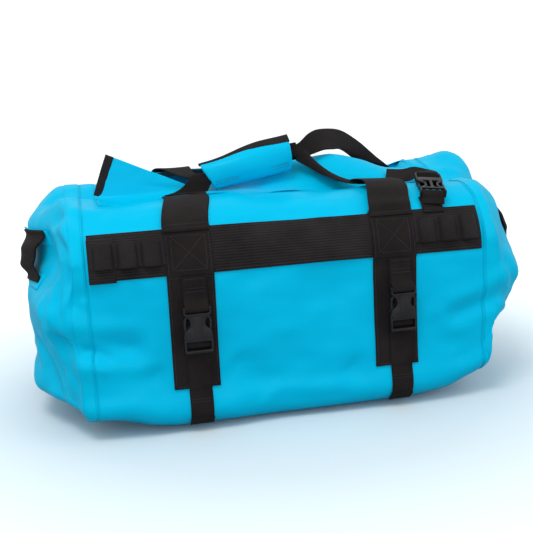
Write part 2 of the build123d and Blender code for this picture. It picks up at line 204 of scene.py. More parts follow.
def slack(p):
    """Moves plain points to where the slack, half-full bag really has them."""
    x, y, z = p[..., 0], p[..., 1], p[..., 2]
    a = np.abs(x)
    towards_end = smooth((a - 224) / 52)
    reach = np.where(x < 0, left_reach(z), right_reach(z))
    in_front = smooth((-30 + 35 * smooth((z - 140) / 25) - y) / 105)
    left_taper = left_front_taper(z) * in_front + LEFT_REAR_TAPER * smooth((y - 70) / 80)
    taper = np.where(x < 0, left_taper, RIGHT_TAPER * smooth((np.abs(y) - 40) / 110))
    new_x = x + np.sign(x) * towards_end * (reach - taper)
    low = np.clip(1 - z / 110, 0, 1) ** 1.6
    new_z = z + base_lift(x) * low
    # the top: front edge, valley and rear edge past the ends of the collar
    high = smooth((z - 200) / 45)
    left = smooth((-x - 165) / 45) * smooth((285 + x) / 40)
    right = smooth((x - 150) / 55) * smooth((300 - x) / 40)
    new_z += high * left * (6 * bell(y + 56, 22) - 13 * bell(y + 8, 26) + 11 * bell(y - 56, 30))
    new_z += high * right * (-5 * bell(y + 62, 30) - 12 * bell(y + 26, 22) + 17 * bell(y - 44, 34))
    new_z += 7 * smooth((x - 225) / 30) * bell(y - 30, 52) * smooth((z - 180) / 62)
    new_x += 20 * smooth((x - 215) / 60) * smooth((y + 30) / 60) * smooth((z - 190) / 45)
    # the front and rear walls belly out a little between the strips and over the contents
    wall = smooth((HALF_DEPTH - 20 - np.abs(y)) / -20)
    belly = 3.0 * bell(x, 70) + 4.5 * bell(a - 190, 45)
    new_y = y + np.sign(y) * wall * belly * bell(z - 105, 55)
    # and the load slumps on to the floor in front
    new_y -= (y < 0) * 9 * bell(z - 16, 24) * smooth((270 - a) / 60)
    return np.stack([new_x, new_y, new_z], -1)


# Dents and folds: where they start and end, how wide and deep they are, and how far one side
# stands up as a soft ridge (millimetres)
FOLDS = [
    # the crease between the front and the left end, and the kink above its foot
    ((-273, -124, 134), (-239, -131, 44), 7, -3.2, -1.0),
    ((-286, 20, 84), (-262, -70, 62), 8, 3.4, 1.6),
    # left front corner: the long level dent and the folds that hang from the end handle
    ((-262, -138, 112), (-168, -152, 99), 12, 8.0, 2.2),
    ((-232, -152, 104), (-200, -153, 90), 6, 3.6, 1.0),
    ((-256, -128, 205), (-250, -143, 128), 8, 5.4, 1.6),
    ((-243, -140, 196), (-234, -148, 146), 7, 4.2, 1.3),
    ((-268, -112, 190), (-266, -128, 130), 8, 4.6, 1.4),
    ((-230, -147, 190), (-224, -151, 158), 9, 1.8, 0.5),
    ((-262, -100, 228), (-236, -138, 205), 8, 4.4, 1.4),
    ((-256, -80, 240), (-218, -118, 230), 10, 4.0, 1.4),
    ((-280, -60, 100), (-262, -112, 40), 10, 3.2, 1.2),
    ((-272, -110, 95), (-246, -138, 42), 9, 3.0, 1.0),
    ((-156, -150, 76), (-134, -146, 22), 16, 4.6, 0.8),
    ((-196, -140, 26), (-140, -132, 12), 10, 2.0, 0.6),
    # front between the strips
    ((-74, -152, 74), (-36, -150, 36), 20, 4.2, 0.8),
    ((-66, -148, 27), (66, -148, 24), 8, 2.4, 1.0),
    ((58, -151, 56), (88, -148, 22), 14, 3.6, 0.8),
    ((-20, -153, 130), (60, -153, 122), 26, 1.1, 0.2),
    # right front corner
    ((176, -151, 100), (254, -142, 122), 10, 5.2, 1.8),
    ((238, -146, 122), (264, -122, 104), 6, 4.2, 1.6),
    ((250, -140, 158), (264, -128, 122), 7, 3.6, 1.4),
    ((150, -151, 96), (176, -150, 60), 20, 1.8, 0.4),
    ((244, -138, 60), (262, -112, 30), 10, 2.4, 0.8),
    # top right: the long diagonal fold and the mouth slit beside the clip
    ((230, -8, 256), (282, -46, 236), 9, 3.4, 1.6),
    ((205, 8, 252), (245, -34, 243), 8, 2.2, 1.0),
    ((200, -50, 244), (238, -52, 243), 4, 3.4, 1.2),
    ((176, 30, 258), (206, 4, 250), 9, 2.0, 1.0),
    # top left
    ((-262, 20, 246), (-222, -18, 244), 10, 2.6, 1.2),
    ((-246, -54, 250), (-205, -52, 252), 5, 2.6, 1.0),
    # rear, as such a bag creases
    ((-190, 152, 96), (-70, 152, 112), 14, 3.0, 1.0),
    ((60, 152, 60), (176, 152, 84), 15, 3.0, 1.0),
    ((-30, 152, 150), (34, 152, 60), 20, 1.8, 0.5),
    ((214, 148, 150), (262, 118, 118), 10, 3.2, 1.2),
    ((-214, 148, 70), (-262, 118, 108), 10, 3.2, 1.2),
    # ends
    ((300, -40, 150), (300, 56, 78), 16, 3.0, 1.2),
    ((296, 10, 70), (290, -70, 44), 12, 2.6, 1.0),
    ((-290, -50, 84), (-290, 44, 128), 16, 3.0, 1.2),
    ((-286, 30, 54), (-284, -60, 70), 12, 2.4, 1.0),
]
rng = np.random.default_rng(11)
WAVE_LENGTHS = (260, 190, 150, 120, 95, 80, 60, 45)
WAVE_HEIGHTS = (0.9, 0.8, 0.6, 0.5, 0.35, 0.3, 0.18, 0.12)
WAVES = [
    (rng.normal(size=3) * 2 * pi / length, rng.uniform(0, 2 * pi), height)
    for length, height in zip(WAVE_LENGTHS, WAVE_HEIGHTS)
    for _ in range(3)
]
SHORT_WAVES = WAVES[6:]
FLOOR_GAP = 0.4


def relief(p):
    """Height of dents, folds and gentle waves above the slack surface."""
    height = np.zeros(p.shape[:-1])
    for start, end, width, depth, ridge in FOLDS:
        start, end = np.array(start, float), np.array(end, float)
        run = end - start
        along = np.clip(((p - start) @ run) / (run @ run), -0.15, 1.15)
        nearest = start + along[..., None] * run
        gap = np.linalg.norm(p - nearest, axis=-1)
        fade = smooth((along + 0.15) / 0.3) * smooth((1.15 - along) / 0.3)
        height += fade * (-depth * bell(gap, width) + ridge * bell(gap - 1.9 * width, width))
    waves = sum(size * np.sin(p @ k + phase) for k, phase, size in WAVES)
    x, y, z = p[..., 0], p[..., 1], p[..., 2]
    # webbing holds the cloth flat under the strips, and the floor under the bottom
    held = 1 - 0.8 * bell(np.abs(x) - 113, 34) * smooth((np.abs(y) - 60) / 20)
    held *= 1 - 0.6 * smooth((z - 165) / 15) * smooth((230 - z) / 10) * (y < 0) * (np.abs(x) < 220)
    off_floor = smooth(z / 20)
    return (height + waves) * held * off_floor


def bag(u, s, out=0.0):
    """Points out millimetres off the finished surface, and the outward normals there."""
    u, s = np.broadcast_arrays(np.asarray(u, float), np.asarray(s, float))

    def shape(du, ds):
        return slack(plain(u + du, s + ds))

    step = 1.5
    across = shape(step, 0) - shape(-step, 0)
    down = shape(0, step) - shape(0, -step)
    normal = np.cross(across, down)
    size = np.linalg.norm(normal, axis=-1, keepdims=True)
    normal = -normal / np.maximum(size, 1e-9)
    p = shape(0, 0)
    p = p + normal * (relief(p) + out)[..., None]
    p[..., 2] = np.maximum(p[..., 2], FLOOR_GAP)
    return p, normal


# ---- mesh helpers
def in_scene(name, data):
    obj = bpy.data.objects.new(name, data)
    bpy.context.scene.collection.objects.link(obj)
    return obj


def new_piece(name, verts, faces, material, body="root", slot=None, uvs=None):
    """A mesh piece from points in millimetres. uvs, one per vertex, are in metres."""
    mesh = bpy.data.meshes.new(name)
    mesh.from_pydata((np.asarray(verts, float).reshape(-1, 3) * MM).tolist(), [], faces)
    mesh.validate()
    if uvs is not None:
        layer = mesh.uv_layers.new(name="UVMap")
        index = np.zeros(len(mesh.loops), int)
        mesh.loops.foreach_get("vertex_index", index)
        layer.data.foreach_set("uv", np.asarray(uvs, float)[index].ravel())
    mesh.polygons.foreach_set("use_smooth", [True] * len(mesh.polygons))
    bm = bmesh.new()
    bm.from_mesh(mesh)
    bmesh.ops.recalc_face_normals(bm, faces=bm.faces)
    bm.to_mesh(mesh)
    bm.free()
    obj = in_scene(name, mesh)
    mesh.materials.append(material)
    if body:
        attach(obj, body)
    return obj


def grid_faces(rows, cols, start=0, flip=False, wrap=False):
    faces = []
    last = cols if wrap else cols - 1
    for r in range(rows - 1):
        for c in range(last):
            a, b = start + r * cols + c, start + r * cols + (c + 1) % cols
            quad = (a, b, b + cols, a + cols)
            faces.append(quad[::-1] if flip else quad)
    return faces


def slab(name, top, bottom, material, uv=None, **options):
    """A closed piece between two grids of points of the same shape."""
    rows, cols = top.shape[:2]
    half = rows * cols
    faces = grid_faces(rows, cols) + grid_faces(rows, cols, half, flip=True)
    edge = [(0, c) for c in range(cols)] + [(r, cols - 1) for r in range(1, rows)]
    edge += [(rows - 1, c) for c in range(cols - 2, -1, -1)]
    edge += [(r, 0) for r in range(rows - 2, 0, -1)]
    ring = [r * cols + c for r, c in edge]
    for a, b in zip(ring, ring[1:] + ring[:1]):
        faces.append((b, a, a + half, b + half))
    verts = np.concatenate([top.reshape(-1, 3), bottom.reshape(-1, 3)])
    uvs = None if uv is None else np.concatenate([uv.reshape(-1, 2)] * 2) * MM
    return new_piece(name, verts, faces, material, uvs=uvs, **options)


def edge_rows(width, count, lip=0.9):
    """Positions across a web and how full its thickness is there, rounded at both edges."""
    inner = np.linspace(-width / 2 + lip, width / 2 - lip, count)
    turn = np.array([0.0, 0.3, 0.65])
    left = -width / 2 + lip - lip * np.cos(turn * pi / 2)
    full = np.concatenate([np.sin(turn * pi / 2), np.ones(count), np.sin(turn[::-1] * pi / 2)])
    return np.concatenate([left, inner, -left[::-1]]), np.maximum(full, 0.12)


def on_bag(name, along, across_width, low, thick, material, where, cols=None, **options):
    """A web that lies on the bag. where(a, b) gives u and s for along a and across b."""
    across, full = edge_rows(across_width, cols or max(4, int(across_width / 3)))
    a, b = np.meshgrid(along, across, indexing="ij")
    u, s = where(a, b)
    height = low(u, s) if callable(low) else np.full(a.shape, float(low))
    height = height + thick / 2
    top, _ = bag(u, s, height + thick / 2 * full)
    bottom, _ = bag(u, s, height - thick / 2 * full)
    uv = np.stack([b, a], -1)
    options.setdefault("slot", "webbing")
    return slab(name, top, bottom, material, uv, **options)


def round_at(x):
    """For a web that runs round the bag's section at one place along it."""
    return lambda a, b: (x + b, a)


def free_web(name, rungs, thick, material, cup=0.0, count=60, cols=14, **options):
    """A loose web through rungs: a middle point, the way across and the width."""
    middles, sides, widths = (np.array(column, float) for column in zip(*rungs))
    knots = run_along(middles)
    at = np.linspace(0, knots[-1], count)
    path, width = spline(middles, knots, at), spline(widths, knots, at)
    side = unit(spline(unit(sides), knots, at))
    normal = unit(np.cross(side, np.gradient(path, axis=0)))
    across, full = edge_rows(1.0, cols, lip=0.02)
    a = across[None, :, None]
    middle = path[:, None] + side[:, None] * a * width[:, None, None]
    middle = middle + normal[:, None] * cup * (1 - 4 * a**2)
    lift = normal[:, None] * thick / 2 * full[None, :, None]
    uv = np.stack(np.broadcast_arrays(across[None, :] * width.max(), at[:, None]), -1)
    options.setdefault("slot", "webbing")
    return slab(name, middle + lift, middle - lift, material, uv, **options)


# ---- materials
class Look:
    """A node tree and its shader, with short ways to add to them."""

    def __init__(self, tree, shader=None):
        self.tree, self.shader = tree, shader

    def add(self, kind, inputs=(), **settings):
        node = self.tree.nodes.new(kind)
        for key, value in settings.items():
            setattr(node, key, value)
        for key, value in dict(inputs).items():
            if hasattr(value, "is_output"):
                self.tree.links.new(value, node.inputs[key])
            else:
                node.inputs[key].default_value = value
        return node

    def feed(self, output, socket):
        self.tree.links.new(output, self.shader.inputs[socket])

    def coordinates(self, kind):
        return self.add("ShaderNodeTexCoord").outputs[kind]

    def axes(self, vector):
        return self.add("ShaderNodeSeparateXYZ", {"Vector": vector}).outputs

    def math(self, operation, a, b=0.0):
        return self.add("ShaderNodeMath", {0: a, 1: b}, operation=operation).outputs[0]

    def wave(self, value, length):
        return self.math("SINE", self.math("MULTIPLY", value, 2 * pi / length))

    def noise(self, vector, scale, detail=3.0, roughness=0.55):
        inputs = {"Vector": vector, "Scale": scale, "Detail": detail, "Roughness": roughness}
        return self.add("ShaderNodeTexNoise", inputs).outputs["Fac"]

    def mixed(self, fac, first, second):
        colours = {"Factor": fac, "A": (*first, 1), "B": (*second, 1)}
        return self.add("ShaderNodeMix", colours, data_type="RGBA").outputs["Result"]

    def ranged(self, value, low, high, out_low, out_high):
        inputs = {"Value": value, "From Min": low, "From Max": high}
        inputs.update({"To Min": out_low, "To Max": out_high})
        return self.add("ShaderNodeMapRange", inputs).outputs["Result"]

    def bump(self, height, strength, distance, under=None):
        inputs = {"Height": height, "Strength": strength, "Distance": distance}
        if under is not None:
            inputs["Normal"] = under
        normal = self.add("ShaderNodeBump", inputs).outputs[0]
        self.feed(normal, "Normal")
        return normal


def new_material(name, roughness, **sockets):
    material = bpy.data.materials.new(name)
    material.use_nodes = True
    shader = material.node_tree.nodes["Principled BSDF"]
    shader.inputs["Roughness"].default_value = roughness
    for socket, value in sockets.items():
        shader.inputs[socket.replace("_", " ")].default_value = value
    return material, Look(material.node_tree, shader)


SCRIM_PITCH = 0.0011
WEFT_PITCH = 0.0013


def tarpaulin(name, bright, deep):
    """PVC-coated cloth: a smooth satin skin over a scrim that just shows through."""
    sockets = dict(Specular_IOR_Level=0.03, Coat_Weight=0.03, Coat_Roughness=0.22)
    material, look = new_material(name, 0.34, **sockets)
    place = look.coordinates("Object")
    look.feed(look.mixed(look.noise(place, 9.0, 4.0), bright, deep), "Base Color")
    smear = look.noise(place, 38.0, 5.0, 0.6)
    look.feed(look.ranged(smear, 0.3, 0.7, 0.27, 0.42), "Roughness")
    axes = look.axes(place)
    threads = [look.wave(axes[axis], SCRIM_PITCH) for axis in "XYZ"]
    scrim = look.math("ADD", look.math("ADD", threads[0], threads[1]), threads[2])
    rough = look.bump(scrim, 0.05, 0.0002)
    look.bump(look.noise(place, 150.0, 5.0), 0.06, 0.0006, under=rough)
    return material


def webbing(name, rib, dark, light):
    """Woven tape: ribs along the tape every rib metres, crossed by the weft. Its colour adds painted
    shade in the weave's grooves and a painted highlight on its ridges.
    """
    sockets = dict(Sheen_Weight=0.015, Sheen_Roughness=0.5, Specular_IOR_Level=0.1)
    material, look = new_material(name, 0.62, **sockets)
    axes = look.axes(look.coordinates("UV"))
    across = look.wave(axes["X"], rib)
    stagger = look.math("MULTIPLY", look.math("SIGN", across), pi / 2)
    weft = look.math("ADD", look.math("MULTIPLY", axes["Y"], 2 * pi / WEFT_PITCH), stagger)
    weave = look.math("MULTIPLY", look.math("SINE", weft), 0.45)
    height = look.math("ADD", look.math("ABSOLUTE", across), weave)
    place = look.coordinates("Object")
    fuzz = look.noise(place, 900.0, 2.0)
    height = look.math("ADD", height, look.math("MULTIPLY", fuzz, 0.7))
    worn = look.math("MULTIPLY", look.noise(place, 30.0, 4.0), 0.7)
    # colour: a random worn tone, plus the weave's height as painted shade in its grooves and painted
    # highlight on its ridges
    wear_and_rib_shade = look.math("ADD", worn, look.math("MULTIPLY", height, 0.25))
    look.feed(look.mixed(look.ranged(wear_and_rib_shade, 0.2, 0.9, 0.0, 1.0), dark, light), "Base Color")
    look.feed(look.ranged(fuzz, 0.3, 0.7, 0.5, 0.78), "Roughness")
    look.bump(height, 0.85, 0.0005)
    return material


def moulded(name, dark, light):
    """Injection-moulded acetal: fine spark texture and slightly polished high spots."""
    material, look = new_material(name, 0.36, Specular_IOR_Level=0.34)
    place = look.coordinates("Object")
    wear = look.noise(place, 60.0, 4.0)
    look.feed(look.mixed(look.ranged(wear, 0.35, 0.75, 0.0, 1.0), dark, light), "Base Color")
    look.feed(look.ranged(wear, 0.3, 0.7, 0.28, 0.46), "Roughness")
    look.bump(look.noise(place, 1400.0, 2.0), 0.12, 0.0002)
    return material


def fuzzy(name, dark, light):
    """Hook-and-loop tape: a dense short pile."""
    material, look = new_material(name, 0.9, Sheen_Weight=0.3, Sheen_Roughness=0.6)
    cells = {"Vector": look.coordinates("Object"), "Scale": 900.0}
    pile = look.add("ShaderNodeTexVoronoi", cells).outputs["Distance"]
    look.feed(look.mixed(pile, dark, light), "Base Color")
    look.bump(pile, 0.9, 0.0006)
    return material


CYAN = tarpaulin("tarpaulin", (0.0, 0.520, 0.790), (0.0, 0.470, 0.740))
CYAN_TAPE = tarpaulin("tarpaulin_tape", (0.0, 0.535, 0.790), (0.0, 0.480, 0.740))
BLACK_WEB = webbing("webbing_fine", 0.0026, (0.0035, 0.0025, 0.0025), (0.027, 0.021, 0.0205))
LOOP_WEB = webbing("webbing_loop", 0.0022, (0.005, 0.004, 0.004), (0.034, 0.029, 0.029))
BLACK_BAND = webbing("webbing_band", 0.0058, (0.003, 0.0025, 0.0025), (0.034, 0.029, 0.029))
BINDING = webbing("binding_tape", 0.0022, (0.008, 0.007, 0.007), (0.040, 0.035, 0.035))
THREAD = webbing("thread", 0.0010, (0.030, 0.029, 0.036), (0.075, 0.073, 0.090))
PLASTIC = moulded("buckle_plastic", (0.0065, 0.006, 0.0065), (0.015, 0.0135, 0.015))
PILE = fuzzy("hook_and_loop", (0.006, 0.006, 0.007), (0.022, 0.020, 0.021))

# ---- panels
STEP = 3.2
SKIN_T = 0.9
MOUTH_HALF_X = 200.0
MOUTH_Y = 50.0


def panel(name, u_from, u_to, node):
    """A stretch of the bag's skin, closed by a thin inner side, with the mouth left open."""
    us = np.linspace(u_from, u_to, int(abs(u_to - u_from) / STEP) + 2)
    count = int(2 * S_END / STEP)
    ss = np.linspace(-S_END, S_END, count, endpoint=False)
    u, s = np.meshgrid(us, ss, indexing="ij")
    p, _ = bag(u, s)
    faces = []
    for r, c in np.ndindex(len(us) - 1, count):
        middle_u, middle_s = (us[r] + us[r + 1]) / 2, ss[c] + S_END / count
        if abs(middle_u) < MOUTH_HALF_X and abs(middle_s) < MOUTH_Y:
            continue
        d = (c + 1) % count
        faces.append((r * count + c, (r + 1) * count + c, (r + 1) * count + d, r * count + d))
    obj = new_piece(name, p, faces, CYAN, slot="tarpaulin")
    skin = obj.modifiers.new("thickness", "SOLIDIFY")
    skin.thickness = SKIN_T * MM
    skin.offset = -1
    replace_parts(obj, node)


panel("body_skin", -SEAM_X, SEAM_X, "body_panel")
panel("left_end_skin", -U_END + 0.5, -SEAM_X, "left_end_panel")
panel("right_end_skin", SEAM_X, U_END - 0.5, "right_end_panel")

# Welded tapes: a raised strip over each seam
for side, name in ((-1, "left_seam_tape"), (1, "right_seam_tape")):
    along = np.linspace(-S_END + 130, S_END - 130, 330)
    where = round_at(side * (SEAM_X + 11))
    tape = on_bag(name + "_skin", along, 17, 0.15, 0.7, CYAN_TAPE, where, cols=5, slot="tarpaulin")
    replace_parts(tape, name)

# ---- bands and strips
STRIP_X = 113.0
RIGHT_HANDLE_X = STRIP_X + 0.8
WEB_T = 1.5
WIDE, NARROW = 50, 25
BAND_S = (S_WALL + 2 - WIDE, S_WALL + 2)
BAND_MID = (BAND_S[0] + BAND_S[1]) / 2
STRIP_END_S = S_WALL + (WALL_TOP - 51)
STRIP_START_S = 60.0
BAND_HALF = 216.0


def strip_u(side, b, s):
    """Where along the bag a strip's cloth lies; the handles pull its top a little to the right."""
    lean = 9.0 if side < 0 else 5.0
    return side * STRIP_X + b + lean * smooth((BAND_S[0] - np.abs(s)) / 60)


def over_band(u, s):
    """Strips lie on the bag, and step up where they cross the band."""
    in_band = smooth((np.abs(s) - BAND_S[0] + 4) / 4) * smooth((BAND_S[1] + 4 - np.abs(s)) / 4)
    return 0.25 + 1.6 * in_band


for sign, name in ((1, "front_band"), (-1, "rear_band")):
    along = np.linspace(-BAND_HALF, BAND_HALF, 150)
    where = lambda a, b, sign=sign: (a, sign * (BAND_MID - b * sign))
    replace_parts(on_bag(name + "_web", along, WIDE, 0.2, WEB_T, BLACK_BAND, where), name)
    for side, strip_name in ((-1, "left_strip"), (1, "right_strip")):
        node = name.replace("band", strip_name)
        # the right front handle stands free of the shoulder, so its strip starts at the band
        stands_free = sign > 0 and side > 0
        along = np.linspace(BAND_S[0] - 1 if stands_free else STRIP_START_S, STRIP_END_S, 90)
        where = lambda a, b, sign=sign, side=side: (strip_u(side, b, a), sign * a)
        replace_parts(on_bag(node + "_web", along, WIDE, over_band, WEB_T, BLACK_WEB, where), node)
        # the handle's own webbing is sewn over the strip, down to the top of the band
        along = np.linspace(BAND_S[0] - 3 if stands_free else STRIP_START_S - 2, BAND_S[0] + 6, 40)
        where = lambda a, b, sign=sign, side=side: (strip_u(side, b, a) + side * 0.8, sign * a)
        over_both = lambda u, s: over_band(u, s) + 1.6
        on_bag(node + "_handle_end", along, WIDE - 1, over_both, WEB_T, BLACK_WEB, where)

# The right front end lifts off the shoulder and folds back over the top
foot, _ = bag(RIGHT_HANDLE_X, BAND_S[0] + 3, 3.4)
standing = [
    (foot, (1, 0, 0), 49),
    (foot + np.array([0.6, 4.2, 9.0]), (1, 0, 0.0), 49),
    ((117, -124, 237.5), (1, 0, -0.02), 49),
    ((120, -113, 247.5), (1, 0, -0.05), 49),
    ((121, -102, 252.6), (1, 0.02, -0.07), 49),
    ((119, -88, 254.2), (1, 0, -0.06), 49),
    ((116, -74, 253.6), (1, 0, -0.03), 49),
    ((113, -64, 251.5), (1, 0, 0), 48),
]
free_web("right_handle_fold", standing, WEB_T, BLACK_WEB, count=60, cols=20)

# ---- daisy loops
LOOP_PITCH, LOOP_LAND, LOOP_RISE, LOOPS = 24.5, 5.0, 7.0, 3
LOOP_START = 142.0
LOOP_S = BAND_MID + 0.5


def loop_height(position):
    """The height of the tape's arches along the band, counted from the first bar tack."""
    within = np.mod(position, LOOP_PITCH)
    count = np.floor(position / LOOP_PITCH)
    t = np.clip((within - 0.5) / (LOOP_PITCH - LOOP_LAND - 1), 0, 1)
    arch = np.clip(np.sin(pi * t), 0, 1) ** 0.34
    return np.where((count >= 0) & (count < LOOPS), arch * LOOP_RISE, 0.0)


for side, node in ((-1, "front_left_loops"), (1, "front_right_loops")):
    along = np.linspace(-LOOP_LAND, LOOPS * LOOP_PITCH - 0.5, 150)
    arched = lambda u, s: 1.95 + loop_height(np.abs(u) - LOOP_START)
    where = lambda a, b, side=side: (side * (LOOP_START + a), LOOP_S - b)
    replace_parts(on_bag(node + "_tape", along, NARROW, arched, 1.2, LOOP_WEB, where), node)

# The left end of the band is hemmed: its folded end shows just below the band
along = np.linspace(-BAND_HALF - 0.6, -BAND_HALF + 27, 12)
on_bag("band_hem", along, 46, 1.75, 0.9, BLACK_BAND, lambda a, b: (a, BAND_MID + 4 - b))

# ---- lower straps, tabs, anchors
LEFT_STRAP_X, RIGHT_STRAP_X = -110.0, 118.0
BUCKLE_FOOT_Z = 88.0


def s_at(z):
    """Where a height on the front wall lies round the section."""
    return S_WALL + WALL_TOP - z


def over_strip(u, s):
    """A strap lies on the strip, steps down past its end, and then lies on the bag."""
    return 0.3 + 1.6 * smooth((STRIP_END_S + 3 - s) / 5)


# Each layer of the tab: from and to which height, how far out and how wide
TAB_LAYERS = ((173, 137, 2.0, 25), (172.5, 158, 3.5, 24.6), (158.5, 137, 4.6, 24.8))
for name, strap_x in (("left", LEFT_STRAP_X), ("right", RIGHT_STRAP_X)):
    where = round_at(strap_x)
    foot = S_BASE + radians(50) * BASE_R
    along = np.linspace(s_at(BUCKLE_FOOT_Z + 13), foot, 70)
    to_buckle = lambda u, s: over_strip(u, s) + 1.7 * smooth((s_at(84) - s) / 10)
    strap = on_bag(f"{name}_lower_strap_web", along, NARROW, to_buckle, WEB_T, BLACK_WEB, where)
    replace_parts(strap, f"{name}_lower_strap")
    along = np.linspace(S_BASE + radians(33) * BASE_R, foot + 1, 16)
    anchor = on_bag(f"{name}_anchor_patch", along, 26, 1.2, WEB_T - 0.3, BLACK_WEB, where)
    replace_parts(anchor, f"{name}_strap_anchor")
    # the tab is folded round the buckle's bar and sewn down in two steps
    for index, (from_z, to_z, out, width) in enumerate(TAB_LAYERS):
        along = np.linspace(s_at(from_z), s_at(to_z), 26)
        swell = 1.6 if index == 2 else 0.0
        foot = s_at(to_z) - 22
        low = lambda u, s, out=out, foot=foot, swell=swell: out + swell * smooth((s - foot) / 18)
        tab = on_bag(f"{name}_tab_layer_{index}", along, width, low, WEB_T - 0.1, BLACK_WEB, where)
        if index == 0:
            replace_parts(tab, f"{name}_buckle_tab")

# ---- collar
LIP_FOOT_S = 58.0
lip_ridge = soft_table(
    [-200, -88, -6, 44, 91, 107, 150, 200], [250, 251, 267, 278, 281, 278, 262, 253], -230, 230, 10
)


def sheet_between(name, xs, rows, thick, material, **options):
    """A thin sheet from rows of points, each a function of x, joined smoothly."""
    places = np.linspace(0, len(rows) - 1, 6 * len(rows))
    grid = spline(np.array([row(xs) for row in rows]), np.arange(len(rows), dtype=float), places)
    normal = grid_normals(grid)
    ripple = 0.5 * sum(size * np.sin(grid @ k * 1.7 + phase) for k, phase, size in SHORT_WAVES)
    grid = grid + normal * ripple[..., None]
    lengths = np.concatenate([[0], np.cumsum(np.linalg.norm(np.diff(grid, axis=0), axis=2).mean(1))])
    uv = np.stack(np.broadcast_arrays(xs[None, :], lengths[:, None]), -1)
    return slab(name, grid + normal * thick / 2, grid - normal * thick / 2, material, uv, **options)


def at(y, z):
    """A row of points at depth y and at a height that is a function of x."""
    return lambda x: np.stack([x, np.full(x.shape, float(y)), z(x)], -1)


def on_top(s, out):
    return lambda x: bag(x, s, out)[0]


def share(part, drop=0.0):
    """Part of the way up from the mouth's edge to the ridge."""
    return lambda x: 246 + (lip_ridge(x) - 246) * part - drop


front_lip = sheet_between(
    "front_lip_cloth",
    np.linspace(-MOUTH_HALF_X + 1, MOUTH_HALF_X - 1, 130),
    [
        on_top(LIP_FOOT_S + 14, 0.5),
        on_top(LIP_FOOT_S, 0.9),
        at(-46, share(0.38)),
        at(-32, share(0.78)),
        at(-19, share(1.0)),
        at(-8, share(1.0, 1.5)),
        at(0, share(0.85, 5)),
    ],
    SKIN_T,
    CYAN,
    slot="tarpaulin",
)
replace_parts(front_lip, "collar_front_lip")


rear_top = soft_table(
    [-200, -165, -130, -68, 0, 60, 100, 150, 200],
    [256, 265, 269.5, 271, 268, 262, 256, 251.5, 250.5],
    *(-230, 230, 12),
)


rear_lip = sheet_between(
    "rear_lip_cloth",
    np.linspace(-MOUTH_HALF_X + 1, MOUTH_HALF_X - 1, 120),
    [
        on_top(-LIP_FOOT_S - 14, 0.5),
        on_top(-LIP_FOOT_S, 0.9),
        at(46, lambda x: 249 + (rear_top(x) - 250) * 0.35),
        at(34, lambda x: 250 + (rear_top(x) - 250) * 0.75),
        at(24, rear_top),
    ],
    SKIN_T,
    CYAN,
    slot="tarpaulin",
)
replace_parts(rear_lip, "collar_rear_lip")
REAR_PILE = [at(32.6, lambda x: 249 + (rear_top(x) - 250) * 0.75), at(23.2, lambda x: rear_top(x) - 0.5)]
FRONT_PILE = [at(-17, share(1.0, 2.2)), at(-7, share(1.0, 3.4)), at(-1, share(0.85, 6.6))]
for place, node, rows in (("rear", "loop_tape", REAR_PILE), ("front", "hook_tape", FRONT_PILE)):
    along = np.linspace(-190, 190, 90)
    pile = sheet_between(place + "_lip_pile", along, rows, 1.2, PILE, slot="hook_and_loop")
    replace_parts(pile, node)
for side, name in ((-1, "collar_left_gusset"), (1, "collar_right_gusset")):
    x_mid = side * (MOUTH_HALF_X - 6)
    ys = np.linspace(-50, 50, 40)
    tops = 247 + 6 * np.cos(ys / 50 * pi / 2)
    top = np.stack([np.full(40, x_mid - side * 6.0), ys, tops - 2], -1)
    foot, _ = bag(side * (MOUTH_HALF_X + 3), -ys, 0.7)
    t = np.linspace(0, 1, 8)[:, None, None]
    half = [0, 0, SKIN_T / 2]
    grid = top * (1 - t) + foot * t + [0, 0, 1.5] * np.sin(pi * t)
    gusset = slab(name + "_cloth", grid + half, grid - half, CYAN, slot="tarpaulin")
    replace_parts(gusset, name)

# ---- the loose wing
WING_LEFT, WING_RIGHT = -200.0, -90.0
# the height of the wing's top edge along its length
wing_top = soft_table(
    [-186, -176, -150, -126, -99, -88], [297, 294, 282, 271.5, 259, 253], -205, -80, 1.5
)


def wing_row(part, y, lean):
    """One level line of the wing; its left edge leans out towards the bottom."""

    def row(x):
        t = (x - WING_LEFT) / (WING_RIGHT - WING_LEFT)
        left = -200 + 16.5 * part
        real_x = left + (WING_RIGHT - left) * t
        top = wing_top(real_x)
        z = 251 + (top - 251) * part
        return np.stack([real_x, np.full(x.shape, y) + lean * np.sin(pi * t), z], -1)

    return row


wing = sheet_between(
    "wing_cloth",
    np.linspace(WING_LEFT, WING_RIGHT, 60),
    [
        lambda x: bag(x, LIP_FOOT_S + 26, 0.5)[0],
        lambda x: bag(x, LIP_FOOT_S + 8, 1.0)[0],
        wing_row(0.0, -54.0, 0.0),
        wing_row(0.3, -49.5, -1.5),
        wing_row(0.65, -48.0, -2.5),
        wing_row(1.0, -47.0, -1.5),
    ],
    1.0,
    CYAN,
    body=None,
    slot="tarpaulin",
)
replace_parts(wing, "collar_wing")
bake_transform(wing)

binding_path = [
    ((-199.5, -50.6, 253), (0.94, 0, -0.32), 9.5),
    ((-195, -49.2, 265), (0.94, 0, -0.33), 9.5),
    ((-189, -48.4, 281), (0.93, 0, -0.36), 9.5),
    ((-182.5, -47.4, 297), (0.92, 0, -0.4), 9.5),
]
options = dict(count=24, cols=8, body=None, slot="binding")
binding = free_web("wing_binding_tape", binding_path, 2.6, BINDING, **options)
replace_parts(binding, "wing_binding")
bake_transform(binding)

